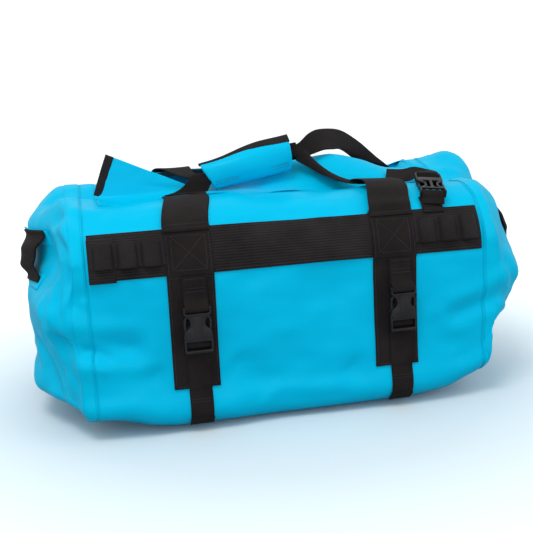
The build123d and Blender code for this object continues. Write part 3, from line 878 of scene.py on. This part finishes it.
# ---- buckles
def rounded(points, radius, steps=5):
    """A closed outline with its corners eased."""
    points = [np.array(p[:2], float) for p in points]
    outline = []
    for i, corner in enumerate(points):
        before, after = points[i - 1] - corner, points[(i + 1) % len(points)] - corner
        near = min(radius, 0.45 * np.linalg.norm(before), 0.45 * np.linalg.norm(after))
        start = corner + before / np.linalg.norm(before) * near
        end = corner + after / np.linalg.norm(after) * near
        for t in np.linspace(0, 1, steps):
            outline.append((1 - t) ** 2 * start + 2 * t * (1 - t) * corner + t * t * end)
    return outline


def mirrored(points):
    """Both sides of an outline given for its right half, from the bottom to the top."""
    return points + [(-x, y) for x, y in reversed(points) if x > 0]


def plate_mesh(outlines, low, high, ease=0.55):
    """A flat plate with eased edges: the first outline is its rim, the others are holes."""
    curve = bpy.data.curves.new("plate", "CURVE")
    curve.dimensions = "2D"
    curve.fill_mode = "BOTH"
    curve.extrude = ((high - low) / 2 - ease) * MM
    curve.bevel_depth = ease * MM
    curve.bevel_resolution = 2
    curve.offset = -ease * MM
    for outline in outlines:
        spline = curve.splines.new("POLY")
        spline.points.add(len(outline) - 1)
        for point, (x, y) in zip(spline.points, outline):
            point.co = (x * MM, y * MM, 0, 1)
        spline.use_cyclic_u = True
    carrier = in_scene("plate", curve)
    carrier.location = (0, 0, (low + high) / 2 * MM)
    bpy.context.view_layer.update()
    mesh = bpy.data.meshes.new_from_object(carrier.evaluated_get(bpy.context.evaluated_depsgraph_get()))
    mesh.transform(carrier.matrix_world)
    bpy.data.objects.remove(carrier)
    bpy.data.curves.remove(curve)
    return mesh


def moulding(name, plates, matrix, body):
    """One moulded part from several eased plates."""
    bm = bmesh.new()
    for plate in plates:
        mesh = plate_mesh(*plate)
        bm.from_mesh(mesh)
        bpy.data.meshes.remove(mesh)
    bmesh.ops.remove_doubles(bm, verts=bm.verts, dist=1e-6)
    bmesh.ops.recalc_face_normals(bm, faces=bm.faces)
    bmesh.ops.transform(bm, matrix=matrix, verts=bm.verts)
    mesh = bpy.data.meshes.new(name)
    bm.to_mesh(mesh)
    bm.free()
    mesh.polygons.foreach_set("use_smooth", [True] * len(mesh.polygons))
    mesh.set_sharp_from_angle(angle=radians(38))
    obj = in_scene(name, mesh)
    mesh.materials.append(PLASTIC)
    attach(obj, body)
    return obj


# Outlines of the buckles' plates: x across and y along, from the loose strap's end to the tab's
SHELL = mirrored(
    [(0, 17.4), (14.6, 17.4), (16.6, 22), (16.6, 27), (13.4, 30.5), (9.8, 33.6), (8.7, 38), (9.8, 42.6)]
    + [(13.2, 45.8), (16.0, 48.4), (16.9, 57.5), (14.6, 57.5), (14.3, 49.8), (0, 49.8)]
)
SPINE = mirrored([(0, 21.5), (5.6, 21.5), (5.6, 46), (14.6, 47.9), (14.6, 49.4), (0, 49.4)])
EAR = [(14.4, 48.6), (16.6, 48.6), (17.0, 58), (14.7, 58)]
BAR = mirrored([(0, 52.6), (15.4, 52.6), (15.4, 56.6), (0, 56.6)])
PANEL_GROOVE = mirrored([(0, 20), (5.4, 20), (5.4, 46.5), (0, 46.5)])
FRAME = mirrored(
    [(0, 0), (16.0, 0), (17.2, 1.6), (17.5, 12), (17.2, 24), (15.6, 26), (14.6, 17.6), (0, 17.6)]
)
FRAME_SLOT = mirrored([(0, 4.0), (14.6, 4.0), (14.8, 14.6), (0, 14.6)])
ARM = [(12.4, 17), (15.2, 25), (16.9, 32), (17.2, 38), (16.4, 43), (13.4, 47.2), (11.4, 46.2), (13.6, 42)]
ARM += [(14.3, 38), (14.0, 33), (12.2, 26), (9.6, 19)]
TONGUE = mirrored([(0, 16.8), (13.6, 16.8), (12.6, 20.6), (0, 20.6)])


def other_side(outline):
    return [(-x, y) for x, y in reversed(outline)]


def female_half(name, matrix, body, windows=()):
    """Two shells joined by a spine, two ears and the bar the tab is folded round."""
    shells = [rounded(SHELL, 1.6)] + [rounded(w, 1.2) for w in windows]
    plates = [(shells, 6.7, 9.0), (shells, 0.0, 2.0), ([rounded(BAR, 1.0)], 2.6, 6.2, 1.2)]
    if not windows:
        plates += [([rounded(SPINE, 0.8)], 1.6, 7.2), ([rounded(PANEL_GROOVE, 1.4)], 8.4, 9.45, 0.3)]
    for ear in (EAR, other_side(EAR)):
        plates.append(([rounded(ear, 1.0)], 0.6, 8.4, 0.8))
    return moulding(name, plates, matrix, body)


def male_half(name, matrix, body):
    """A ladder frame with a tongue and the two bowed arms that snap in."""
    plates = [([rounded(FRAME, 1.4), rounded(FRAME_SLOT, 0.8)], 1.0, 8.0, 1.0)]
    plates.append(([rounded(TONGUE, 0.8)], 2.4, 6.4))
    for arm in (ARM, other_side(ARM)):
        plates.append(([rounded(arm, 1.2)], 2.2, 6.6, 0.7))
    return moulding(name, plates, matrix, body)


def turned_rungs(points, matrix, width=NARROW, side=1):
    """Rungs of a web that stays square to a buckle, from places up and out of it."""
    way = tuple(matrix.to_3x3() @ Vector((side, 0, 0)))
    return [(tuple(matrix @ (Vector((0, up, out)) * MM) / MM), way, width) for up, out in points]


def local_web(name, points, matrix, **options):
    return free_web(name, turned_rungs(points, matrix), 1.3, BLACK_WEB, **options)


BUCKLE_SCALE = 0.87
BUCKLE_MIDDLE = Vector((0, 29.5, 0)) * MM


def frame_matrix(origin, x_way, z_way):
    x_way, z_way = Vector(x_way).normalized(), Vector(z_way).normalized()
    y_way = z_way.cross(x_way)
    rotation = Matrix((x_way, y_way, z_way)).transposed().to_4x4()
    shrink = Matrix.Diagonal((BUCKLE_SCALE, BUCKLE_SCALE, 1, 1))
    about_middle = Matrix.Translation(BUCKLE_MIDDLE) @ shrink @ Matrix.Translation(-BUCKLE_MIDDLE)
    return Matrix.Translation(Vector(origin) * MM) @ rotation @ about_middle


BUCKLE_BACK_Y = -155.6
for name, strap_x in (("left", LEFT_STRAP_X), ("right", RIGHT_STRAP_X)):
    place = frame_matrix((strap_x, BUCKLE_BACK_Y, BUCKLE_FOOT_Z), (1, 0, 0), (0, -1, 0))
    female = female_half(f"{name}_buckle_female_half", place, "root")
    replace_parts(female, f"{name}_buckle_female")
    male = male_half(f"{name}_buckle_male_half", place, f"{name}_male")
    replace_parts(male, f"{name}_buckle_male")
    wrap = [(-2.5, 0.6), (1.5, 0.2), (5.2, 1.8), (7.6, 4.4), (11.5, 5.0), (15.8, 3.6)]
    local_web(f"{name}_male_web", wrap, place, count=30, body=f"{name}_male")
    fold = [(70, 0.6), (64, 2.6), (59.5, 6.4), (55.5, 8.0)]
    fold += [(51.6, 7.0), (50.4, 4.6), (51.4, 1.8), (56, 0.9)]
    local_web(f"{name}_tab_fold", fold, place, count=44)

# ---- closure clip
CLIP_SLOPE, CLIP_LEAN = radians(20), radians(14)
uphill = Vector((0, cos(CLIP_SLOPE), sin(CLIP_SLOPE)))
clip_out = Vector((0, -sin(CLIP_SLOPE), cos(CLIP_SLOPE)))
clip_along = uphill * cos(CLIP_LEAN) + Vector((1, 0, 0)) * sin(CLIP_LEAN)
clip_across = Vector((1, 0, 0)) * cos(CLIP_LEAN) - uphill * sin(CLIP_LEAN)
clip_foot = Vector((167.5, -131.0, 234.0))
clip_place = frame_matrix(clip_foot + clip_along * 53.0, -clip_across, clip_out)
WINDOWS = [[(1.9, 26.5), (11.5, 26.5), (6.6, 33), (6.2, 44), (10, 46.6), (1.9, 46.6)]]
WINDOWS.append(other_side(WINDOWS[0]))
female = female_half("closure_female_half", clip_place, "root", WINDOWS)
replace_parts(female, "closure_buckle_female")
male = male_half("closure_male_half", clip_place, "closure_male")
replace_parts(male, "closure_buckle_male")
fold = [(66, -4.2), (61, 0.4), (57.8, 5.2), (54.4, 7.2), (51.2, 5.2), (51.4, 1.6), (56, 0.2)]
local_web("closure_tab_fold", fold, clip_place, count=40)
along = np.linspace(BAND_S[0] - 15, BAND_S[0] + 6, 18)
tab = on_bag("closure_tab_web", along, NARROW, 1.9, 1.3, BLACK_WEB, round_at(clip_foot.x - 3))
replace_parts(tab, "closure_tab")
strap_rungs = turned_rungs([(12, 4.6), (6.4, 5.0), (2.2, 8.4), (-3, 7.6)], clip_place, 24.5, side=-1)
strap_rungs += [
    ((177, -74, 255.5), (0.85, 0.35, 0.35), 24.5),
    ((168, -66, 255.5), (0.55, 0.5, 0.6), 24),
    ((159, -59, 254), (0.45, 0.62, 0.52), 23),
    ((149, -53, 254.5), (0.38, 0.70, 0.50), 23),
    ((143, -50, 255), (0.36, 0.72, 0.50), 23),
]
closure_strap = free_web("closure_strap_web", strap_rungs, 1.4, BLACK_WEB, count=70, body=None)
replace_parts(closure_strap, "closure_strap")
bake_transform(closure_strap)

# ---- grip
GRIP_FROM = np.array([-84.0, -45.0, 275.5])
GRIP_TO = np.array([26.0, -45.0, 298.0])
GRIP_LONG = float(np.linalg.norm(GRIP_TO - GRIP_FROM))
GRIP_RUN = (GRIP_TO - GRIP_FROM) / GRIP_LONG
GRIP_UP = np.array([-GRIP_RUN[2], 0.0, GRIP_RUN[0]])
GRIP_FRONT = np.array([0.0, -1.0, 0.0])


def grip_point(a, front, up):
    a, front, up = (np.asarray(v, float)[..., None] for v in (a, front, up))
    return GRIP_FROM + GRIP_RUN * a + GRIP_FRONT * front + GRIP_UP * up


def through(knots, count):
    """Points of a smooth line through a few knots, evenly spread."""
    knots = np.array(knots, float)
    gaps = run_along(knots)
    return spline(knots, gaps, np.linspace(0, gaps[-1], count))


def sway(a):
    """How the sleeve swells and draws in along the grip."""
    return 1 + 0.05 * np.sin(a / 17)


def dip(a):
    """How the sleeve's lower edge waves along the grip."""
    return 0.9 * np.sin(a / 23 + 1.1)


def grip_cloth(name, profile, starts, ends, thick, material, bulge=0.0, **options):
    """Cloth round the grip: a profile of (front, up), between ends that may slant with height."""
    line = through(profile, 46)
    share_up = np.linspace(0, 1, len(line))
    low = np.interp(share_up, np.linspace(0, 1, len(starts)), starts)
    high = np.interp(share_up, np.linspace(0, 1, len(ends)), ends)
    t = np.linspace(0, 1, 64)[:, None]
    a = low + (high - low) * t
    front = line[None, :, 0] * sway(a) + bulge * np.sin(pi * t) * np.sin(pi * share_up)
    up = line[None, :, 1] + dip(a) * (1 - share_up) - edge_drop(t, a) * share_up**2
    # it bulges less towards the wing, so that the open flap clears the lip
    front = np.where(front > 9, 9 + (front - 9) * (1 - 0.42 * smooth((0.42 - t) / 0.42)), front)
    wrinkle = 1.1 * np.sin(a / 9.5 + 3 * share_up) * np.sin(pi * share_up) * 0.5
    middle = grip_point(a, front + wrinkle, up)
    normal = grid_normals(middle)
    rim = np.minimum(np.minimum(t, 1 - t) * 40, np.minimum(share_up, 1 - share_up)[None] * 24)
    full = np.sqrt(np.clip(1 - (1 - np.clip(rim, 0.06, 1)) ** 2, 0.1, 1))[..., None] * thick / 2
    uv = np.stack(np.broadcast_arrays(run_along(line)[None, :], a), -1)
    return slab(name, middle + normal * full, middle - normal * full, material, uv, **options)


def edge_drop(t, a):
    """How much lower the cloth's upper edge lies, most at the left end."""
    return 6.0 * smooth((0.75 - t) / 0.75) + 0.7 * np.sin(a / 14)


FRONT_PROFILE = [(-3, -26.5), (3.5, -27.4), (9.5, -24.6), (13.2, -18)]
FRONT_PROFILE += [(15.4, -8), (14.6, 0), (10.8, 6), (5, 11)]
REAR_PROFILE = [(-2, -26), (-8.5, -22), (-13.2, -13), (-14.4, -4)]
REAR_PROFILE += [(-11.5, 4), (-6, 8.5), (0, 10.5), (3.6, 10.4)]
flap_cloth = grip_cloth(
    "grip_flap_cloth", FRONT_PROFILE, (13, 12, 8, 4, 2), (106, 106.5, 108, 109, 109.5), 1.8, CYAN, 1.2,
    body=None, slot="tarpaulin",
)
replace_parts(flap_cloth, "grip_flap")
wrap_cloth = grip_cloth(
    "grip_wrap_cloth", REAR_PROFILE, (14, 10, 7, 5, 4), (105, 106, 107, 108, 108), 2.2, CYAN, 0.0,
    body="grip", slot="tarpaulin",
)
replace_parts(wrap_cloth, "grip_wrap")
hinge_low, hinge_high = grip_point(50, 12, -19.5), grip_point(50, 14, -9)
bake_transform(flap_cloth)

# A binding folded over the flap's upper edge, wider towards the right
edge_profile = through([(11.4, 5.4), (8.6, 9.6), (5.4, 12.6), (3.2, 12.2), (4.2, 9.0), (7.0, 6.4)], 26)
t = np.linspace(0, 1, 60)[:, None]
a = 1.4 + t * (110.2 - 1.4)
spread = 0.38 + 0.72 * t
tip = np.array([4.6, 11.6])
front = tip[0] + (edge_profile[None, :, 0] - tip[0]) * spread
up = tip[1] + (edge_profile[None, :, 1] - tip[1]) * spread
up = up - edge_drop(t, a)
middle = grip_point(a, front * sway(a) + 0.9 * spread, up + 0.3)
half = grid_normals(middle) * 0.5
uv = np.stack(np.broadcast_arrays(np.linspace(0, 14, 26)[None, :], a), -1)
options = dict(body="grip_flap", slot="binding")
binding = slab("grip_binding_tape", middle + half, middle - half, BINDING, uv, **options)
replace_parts(binding, "grip_binding")

CORE_WIDTHS = ((9, 13), (24, 17), (56, 20), (100, 18), (119, 15))
rungs = [(grip_point(a, 0.0, -7.0), GRIP_UP, width) for a, width in CORE_WIDTHS]
core = free_web("grip_core", rungs, 9, BLACK_WEB, body="grip")
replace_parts(core, "grip_webbing")

# ---- handle webs
LEGS = {
    "front_left_leg": [
        ((-103, -69, 250.0), (1, 0, 0), 48),
        ((-98, -61, 250.5), (1, 0.05, -0.02), 42),
        ((-90, -58.5, 256), (1, 0.05, 0.0), 34),
        ((-83, -57.5, 264.5), (1, 0.05, 0.03), 30),
        ((-78, -54.5, 269.5), (1, 0.1, -0.02), 29),
        ((-72, -48, 268), (1, 0.25, -0.1), 27),
        ((-64, -44, 262), (0.9, 0.4, -0.1), 23),
    ],
    "rear_left_leg": [
        ((-104, 76, 248.4), (1, 0, 0), 48),
        ((-107, 62, 253.5), (1, 0, 0), 48),
        ((-109, 46, 264), (1, -0.05, 0.02), 47),
        ((-108, 30, 273), (0.98, -0.15, 0.02), 44),
        ((-105, 14, 275), (0.95, -0.3, 0.02), 38),
        ((-98, -8, 270), (0.85, -0.45, 0.0), 29),
        ((-86, -30, 265), (0.75, -0.6, 0.1), 20),
        ((-73, -42, 264), (0.4, -0.6, 0.4), 15),
    ],
    "front_right_leg": [
        ((114, -74, 252.4), (-1, 0.05, 0), 48),
        ((107, -67, 250.8), (-0.93, 0.35, 0.02), 48),
        ((94, -61, 251.6), (-0.74, 0.66, 0.12), 47),
        ((76, -56, 259), (-0.5, 0.78, 0.38), 44),
        ((58, -53, 271), (-0.36, 0.6, 0.62), 36),
        ((44, -50, 281), (-0.22, 0.3, 0.9), 25),
        ((31, -47, 287), (-0.15, 0.1, 1), 17),
    ],
    "rear_right_leg": [
        ((114, 82, 247.6), (-1, 0, 0), 48),
        ((120, 67, 250.5), (-1, 0.03, 0), 49),
        ((138, 52, 254), (-1, 0.08, 0), 50),
        ((154, 39, 257), (-0.99, -0.05, 0.0), 50),
        ((155, 29, 262), (-0.94, -0.2, 0.18), 50),
        ((140, 20, 273), (-0.82, -0.4, 0.1), 50),
        ((112, 4, 292), (-0.66, -0.66, -0.2), 47),
        ((95, -6, 298.5), (-0.42, -0.7, -0.5), 42),
        ((74, -16, 300), (-0.1, -0.7, -0.66), 36),
        ((55, -30, 296), (0.05, -0.45, -0.88), 27),
        ((38, -40, 289), (0.12, -0.15, -1), 18),
        ((28, -43, 287), (0.12, 0, -1), 16),
    ],
}
# Where each leg stops standing still, and where it starts to ride with the grip (metres); the loop below
# reads them and does nothing more with them
LEG_TURNS = {
    "front_left_leg": ((-0.100, -0.064, 0.250), (-0.074, -0.050, 0.268)),
    "rear_left_leg": ((-0.110, 0.060, 0.253), (-0.08, -0.038, 0.269)),
    "front_right_leg": ((0.107, -0.067, 0.251), (0.040, -0.049, 0.284)),
    "rear_right_leg": ((0.156, 0.034, 0.252), (0.044, -0.036, 0.290)),
}
for name, rungs in LEGS.items():
    leg = free_web(name + "_web", rungs, WEB_T, BLACK_WEB, cup=0.8, count=110, cols=20, body=None)
    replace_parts(leg, name)
    start, end = LEG_TURNS[name]
    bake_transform(leg)

# ---- end handles
HANDLE_MID_Y, HANDLE_MID_Z, HANDLE_HALF, HANDLE_WIDTH = -38.0, 188.0, 31.0, 50.0


def end_surface(side):
    """A smooth fit to the middle of an end panel: how far out it is at y and z."""
    along, round_it = np.linspace(U_ROUND, U_END - 12, 60), np.linspace(-S_END, S_END, 300)
    u, s = np.meshgrid(along, round_it, indexing="ij")
    p, _ = bag(side * u, s)
    near = (np.abs(p[..., 1] - HANDLE_MID_Y) < 46) & (np.abs(p[..., 2] - HANDLE_MID_Z) < 48)
    y, z, x = (p[near][:, 1] - HANDLE_MID_Y) / 50, (p[near][:, 2] - HANDLE_MID_Z) / 50, p[near][:, 0]
    powers = [(i, j) for i in range(5) for j in range(5 - i)]
    fit = np.linalg.lstsq(np.stack([y**i * z**j for i, j in powers], -1), x, rcond=None)[0]

    def surface(y, z):
        y, z = (y - HANDLE_MID_Y) / 50, (z - HANDLE_MID_Z) / 50
        return sum(f * y**i * z**j for f, (i, j) in zip(fit, powers))

    return surface


for side, name in ((-1, "left"), (1, "right")):
    surface = end_surface(side)
    for patch_z in (HANDLE_MID_Z + HANDLE_HALF - 7, HANDLE_MID_Z - HANDLE_HALF + 7):
        y, z = np.meshgrid(np.linspace(-29, 29, 30), np.linspace(patch_z - 8, patch_z + 8, 12))
        eased = np.minimum(1, np.minimum(29.4 - np.abs(y), 8.4 - np.abs(z - patch_z)) / 1.2)
        y = y + HANDLE_MID_Y
        top = np.stack([surface(y, z) + side * (0.5 + 0.8 * eased), y, z], -1)
        patch_name = f"{name}_patch_{int(patch_z)}"
        patch = slab(patch_name, top, top - [side * 1.6, 0, 0], CYAN_TAPE, slot="tarpaulin")
        if patch_z > HANDLE_MID_Z:
            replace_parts(patch, f"{name}_handle_patches")
    along = np.linspace(-HANDLE_HALF, HANDLE_HALF, 70)
    across, full = edge_rows(HANDLE_WIDTH, 26)
    h, a = np.meshgrid(along, across, indexing="ij")
    bow, crease = (8.5, 0.85) if side > 0 else (13.0, 0.55)
    fold = smooth((HANDLE_HALF - 5 - np.abs(h)) / 19) * crease
    y = HANDLE_MID_Y + (1 - fold) * a + fold * 13.5 * np.sin(pi * a / 50) - 2 * fold
    out = 2.4 + bow * smooth((HANDLE_HALF - 3 - np.abs(h)) / 20)
    out = out + fold * 8.0 * (np.cos(pi * a / 50) - 0.35)
    z = HANDLE_MID_Z + h * (1 - 0.16 * (h < 0)) + (2.0 if side < 0 else -2.0) * fold - 0.06 * a
    middle = np.stack([surface(y, z) + side * out, y, z], -1)
    lift = grid_normals(middle) * (1.3 * full)[None, :, None]
    uv = np.stack([a, h], -1)
    handle = slab(f"{name}_handle_web", middle + lift, middle - lift, BLACK_WEB, uv, slot="webbing")
    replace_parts(handle, f"{name}_end_handle")

# ---- stitching
STITCH_PITCH, STITCH_LONG, STITCH_R = 3.1, 2.3, 0.36
SIDES = 6
stitch_groups = {}


def stitch_run(points, normals, group="root", pitch=STITCH_PITCH, long=STITCH_LONG, thick=STITCH_R):
    """Thread capsules along a line of points that lies on a cloth."""
    points, normals = np.asarray(points, float), np.asarray(normals, float)
    gaps = run_along(points)
    starts = np.arange(0.4, gaps[-1] - long, pitch)
    if not len(starts):
        return
    at = starts[:, None] + long * np.array([0, 0.16, 0.5, 0.84, 1.0])[None]
    centre = np.stack([np.interp(at, gaps, points[:, i]) for i in range(3)], -1)
    out = unit(np.stack([np.interp(at, gaps, normals[:, i]) for i in range(3)], -1))
    run = unit(centre[:, -1:] - centre[:, :1]) + 0 * centre
    across = np.cross(run, out)
    radius = thick * np.array([0.25, 0.85, 1, 0.85, 0.25])[None, :, None, None]
    lift = thick * np.array([-1.4, 0.1, 0.5, 0.1, -1.4])[None, :, None]
    turn = np.arange(SIDES) * 2 * pi / SIDES
    ring = np.cos(turn)[:, None] * across[..., None, :] + np.sin(turn)[:, None] * out[..., None, :]
    verts = (centre + out * lift)[..., None, :] + radius * ring
    stitch_groups.setdefault(group, []).append(verts.reshape(len(starts), -1, 3))


def stitch_bag(u, s, out, **options):
    points, normals = bag(np.asarray(u, float), np.asarray(s, float), out)
    stitch_run(points, normals, **options)


def stitch_between(start, end, out, **options):
    t = np.linspace(0, 1, 40)
    stitch_bag(start[0] + (end[0] - start[0]) * t, start[1] + (end[1] - start[1]) * t, out, **options)


def stitch_rows(low, high, rows, out):
    """Rows along the bag, each at its own place round the section."""
    for row in rows:
        stitch_between((low, row), (high, row), out)


# How far off the bag the thread lies: on the band, on the strips, and on both with the handle's end
ON_BAND, ON_STRIP = 0.2 + WEB_T + 0.05, 0.3 + WEB_T + 0.15
ON_BOTH = 1.85 + WEB_T + 0.1
STRIP_CLEAR = STRIP_X - 26, STRIP_X + 26
BETWEEN_STRIPS = [(-BAND_HALF + 2, -STRIP_CLEAR[1]), (-STRIP_CLEAR[0], STRIP_CLEAR[0])]
BETWEEN_STRIPS.append((STRIP_CLEAR[1], BAND_HALF - 2))
for sign in (1, -1):
    for row in (BAND_S[0] + 2.6, BAND_S[1] - 2.6):
        for low, high in BETWEEN_STRIPS:
            stitch_between((low, sign * row), (high, sign * row), ON_BAND)
    for end_u in (-BAND_HALF + 2.6, BAND_HALF - 2.6):
        stitch_between((end_u, sign * (BAND_S[0] + 3)), (end_u, sign * (BAND_S[1] - 3)), ON_BAND)
    for side in (-1, 1):
        middle = side * STRIP_X
        for edge in (-22.6, 22.6):
            s_line = np.linspace(BAND_S[0] + 8, STRIP_END_S - 2.4, 90)
            u_line = strip_u(side, edge, s_line)
            stitch_bag(u_line, sign * s_line, over_band(u_line, s_line) + WEB_T + 0.05)
        rows = [sign * (STRIP_END_S - 2.4), sign * (BAND_S[1] + 3.0)]
        stitch_rows(middle - 22, middle + 22, rows, ON_STRIP)
        # the handle's end is sewn across, and boxed and crossed over the band
        rows = [sign * (BAND_S[0] + 2.4), sign * (BAND_S[0] - 2.0)]
        stitch_rows(middle - 21, middle + 22, rows, ON_BOTH + 1.6)
        corners = [(-18, BAND_S[0] + 10), (18, BAND_S[0] + 10), (18, BAND_S[1] - 5), (-18, BAND_S[1] - 5)]
        box = [(middle + u, sign * s) for u, s in corners]
        for i, j in ((0, 1), (1, 2), (2, 3), (3, 0), (0, 2), (1, 3)):
            stitch_between(box[i], box[j], ON_BOTH)
for side in (-1, 1):
    for count in range(LOOPS + 1):
        tack = side * (LOOP_START - LOOP_LAND / 2 + count * LOOP_PITCH - (0.6 if count == LOOPS else 0))
        for u in (tack - 0.9, tack + 0.9):
            stitch_between((u, LOOP_S - 11), (u, LOOP_S + 11), 3.2, pitch=1.9, long=1.6, thick=0.42)
for strap_x in (LEFT_STRAP_X, RIGHT_STRAP_X):
    sewn = strap_x - 11, strap_x + 11
    stitch_rows(*sewn, [s_at(170.4), s_at(160.6)], 4.95)
    stitch_rows(*sewn, [s_at(157.2)], 6.3)
    stitch_rows(*sewn, [STRIP_END_S + 12, STRIP_END_S + 15], 0.3 + WEB_T + 0.1)
stitch_rows(clip_foot.x - 14, clip_foot.x + 8, [BAND_S[0] + 1.5, BAND_S[0] + 4.2], 3.3)


def on_grip(a_from, a_to, front, up):
    """A line of stitches along the grip's front, a little off its cloth."""
    a = np.linspace(a_from, a_to, 50)
    t = (a - a_from) / (a_to - a_from)
    points = grip_point(a, front * sway(a), up + dip(a) * 0.6)
    return points, np.broadcast_to(GRIP_FRONT - 0.35 * GRIP_UP, points.shape)


for front, up in ((12.9, -21.6), (14.4, -18.4)):
    stitch_run(*on_grip(14, 104, front, up), group="grip", thick=0.3)

for group, runs in stitch_groups.items():
    verts = np.concatenate(runs)
    faces = []
    for capsule in range(len(verts)):
        start = capsule * 5 * SIDES
        faces += grid_faces(5, SIDES, start, wrap=True)
        faces.append(tuple(range(start, start + SIDES))[::-1])
        faces.append(tuple(range(start + 4 * SIDES, start + 5 * SIDES)))
    new_piece(f"stitching_{group}", verts, faces, THREAD, body=group)

# ---- camera, light, floor
CAMERA_AZIMUTH, CAMERA_ELEVATION, CAMERA_ROLL = -12.09, 11.10, 2.79
CAMERA_DISTANCE, CAMERA_LENS = 1.0272, 55.236
CAMERA_TARGET = Vector((0.00086, 0.0, 0.1456))

azimuth, elevation = radians(CAMERA_AZIMUTH), radians(CAMERA_ELEVATION)
back = Vector((sin(azimuth) * cos(elevation), -cos(azimuth) * cos(elevation), sin(elevation)))
camera = in_scene("camera", bpy.data.cameras.new("camera"))
camera.data.sensor_width = 36.0
camera.data.lens = CAMERA_LENS
camera.location = CAMERA_TARGET + back * CAMERA_DISTANCE
camera.rotation_mode = "QUATERNION"
facing = (-back).to_track_quat("-Z", "Y")
camera.rotation_quaternion = facing @ Matrix.Rotation(-radians(CAMERA_ROLL), 3, "Z").to_quaternion()
bpy.context.scene.camera = camera


def area_light(name, place, target, size, energy, colour=(1, 1, 1)):
    light = in_scene(name, bpy.data.lights.new(name, "AREA"))
    light.data.shape = "RECTANGLE"
    light.data.size, light.data.size_y = size
    light.data.energy = energy
    light.data.color = colour
    light.location = place
    light.rotation_mode = "QUATERNION"
    light.rotation_quaternion = (Vector(target) - Vector(place)).to_track_quat("-Z", "Y")


BAG_MIDDLE = (0, 0, 0.12)
area_light("key", (-0.6, -0.9, 1.8), BAG_MIDDLE, (0.8, 0.6), 13)
area_light("fill", (1.5, -1.2, 0.9), BAG_MIDDLE, (1.0, 1.2), 5)
area_light("front", (-0.2, -1.9, 0.5), BAG_MIDDLE, (1.4, 0.7), 3.4)
area_light("back", (0.2, 1.5, 1.5), (0, 0, 0.15), (1.6, 0.8), 1.8)
area_light("left_rim", (-1.6, -0.1, 0.5), (-0.25, 0, 0.14), (0.5, 1.2), 1.3, (1.0, 1.0, 0.82))

world = bpy.data.worlds.new("studio")
world.use_nodes = True
backdrop = world.node_tree.nodes["Background"]
sky = Look(world.node_tree, backdrop)
height = sky.axes(sky.coordinates("Generated"))["Z"]
sky.feed(sky.ranged(height, 0.0, 0.9, 0.68, 0.82), "Strength")
backdrop.inputs["Color"].default_value = (0.95, 0.97, 1.0, 1)
white = sky.add("ShaderNodeBackground", {"Color": (1, 1, 1, 1), "Strength": 1.0})
seen = sky.add("ShaderNodeLightPath").outputs["Is Camera Ray"]
both = sky.add("ShaderNodeMixShader", {0: seen, 1: backdrop.outputs[0], 2: white.outputs[0]})
world.node_tree.links.new(both.outputs[0], world.node_tree.nodes["World Output"].inputs[0])
bpy.context.scene.world = world
bpy.context.scene.view_settings.view_transform = "Standard"

# The floor gives light back a little darker than it looks. To the camera it has a pale blue tint, painted
# shade and bounce from the bag, and a painted glow fades it to white further away
FLOOR_TO_LIGHT, FLOOR_SEEN_WITH_PAINTED_SHADE = (0.42, 0.44, 0.47), (0.74, 0.84, 0.88)
floor_mesh = bpy.data.meshes.new("floor")
floor_mesh.from_pydata([(-9, -9, 0), (9, -9, 0), (9, 9, 0), (-9, 9, 0)], [], [(0, 1, 2, 3)])
floor = in_scene("floor", floor_mesh)
floor_material, look = new_material("floor", 0.6, Specular_IOR_Level=0.0)
look.shader.inputs["Emission Color"].default_value = (1, 1, 1, 1)
seen = look.add("ShaderNodeLightPath").outputs["Is Camera Ray"]
look.feed(look.mixed(seen, FLOOR_TO_LIGHT, FLOOR_SEEN_WITH_PAINTED_SHADE), "Base Color")
place = look.coordinates("Object")
away = look.add("ShaderNodeVectorMath", {0: place}, operation="LENGTH").outputs["Value"]
# painted glow: the floor lights itself for the camera only, more the further it is from the bag
look.feed(look.math("MULTIPLY", seen, look.ranged(away, 0.28, 0.75, 0.0, 0.5)), "Emission Strength")
floor_mesh.materials.append(floor_material)
floor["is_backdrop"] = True

low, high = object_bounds()
{"cad": [list(cad_low), list(cad_high)], "visual": [list(low), list(high)]}
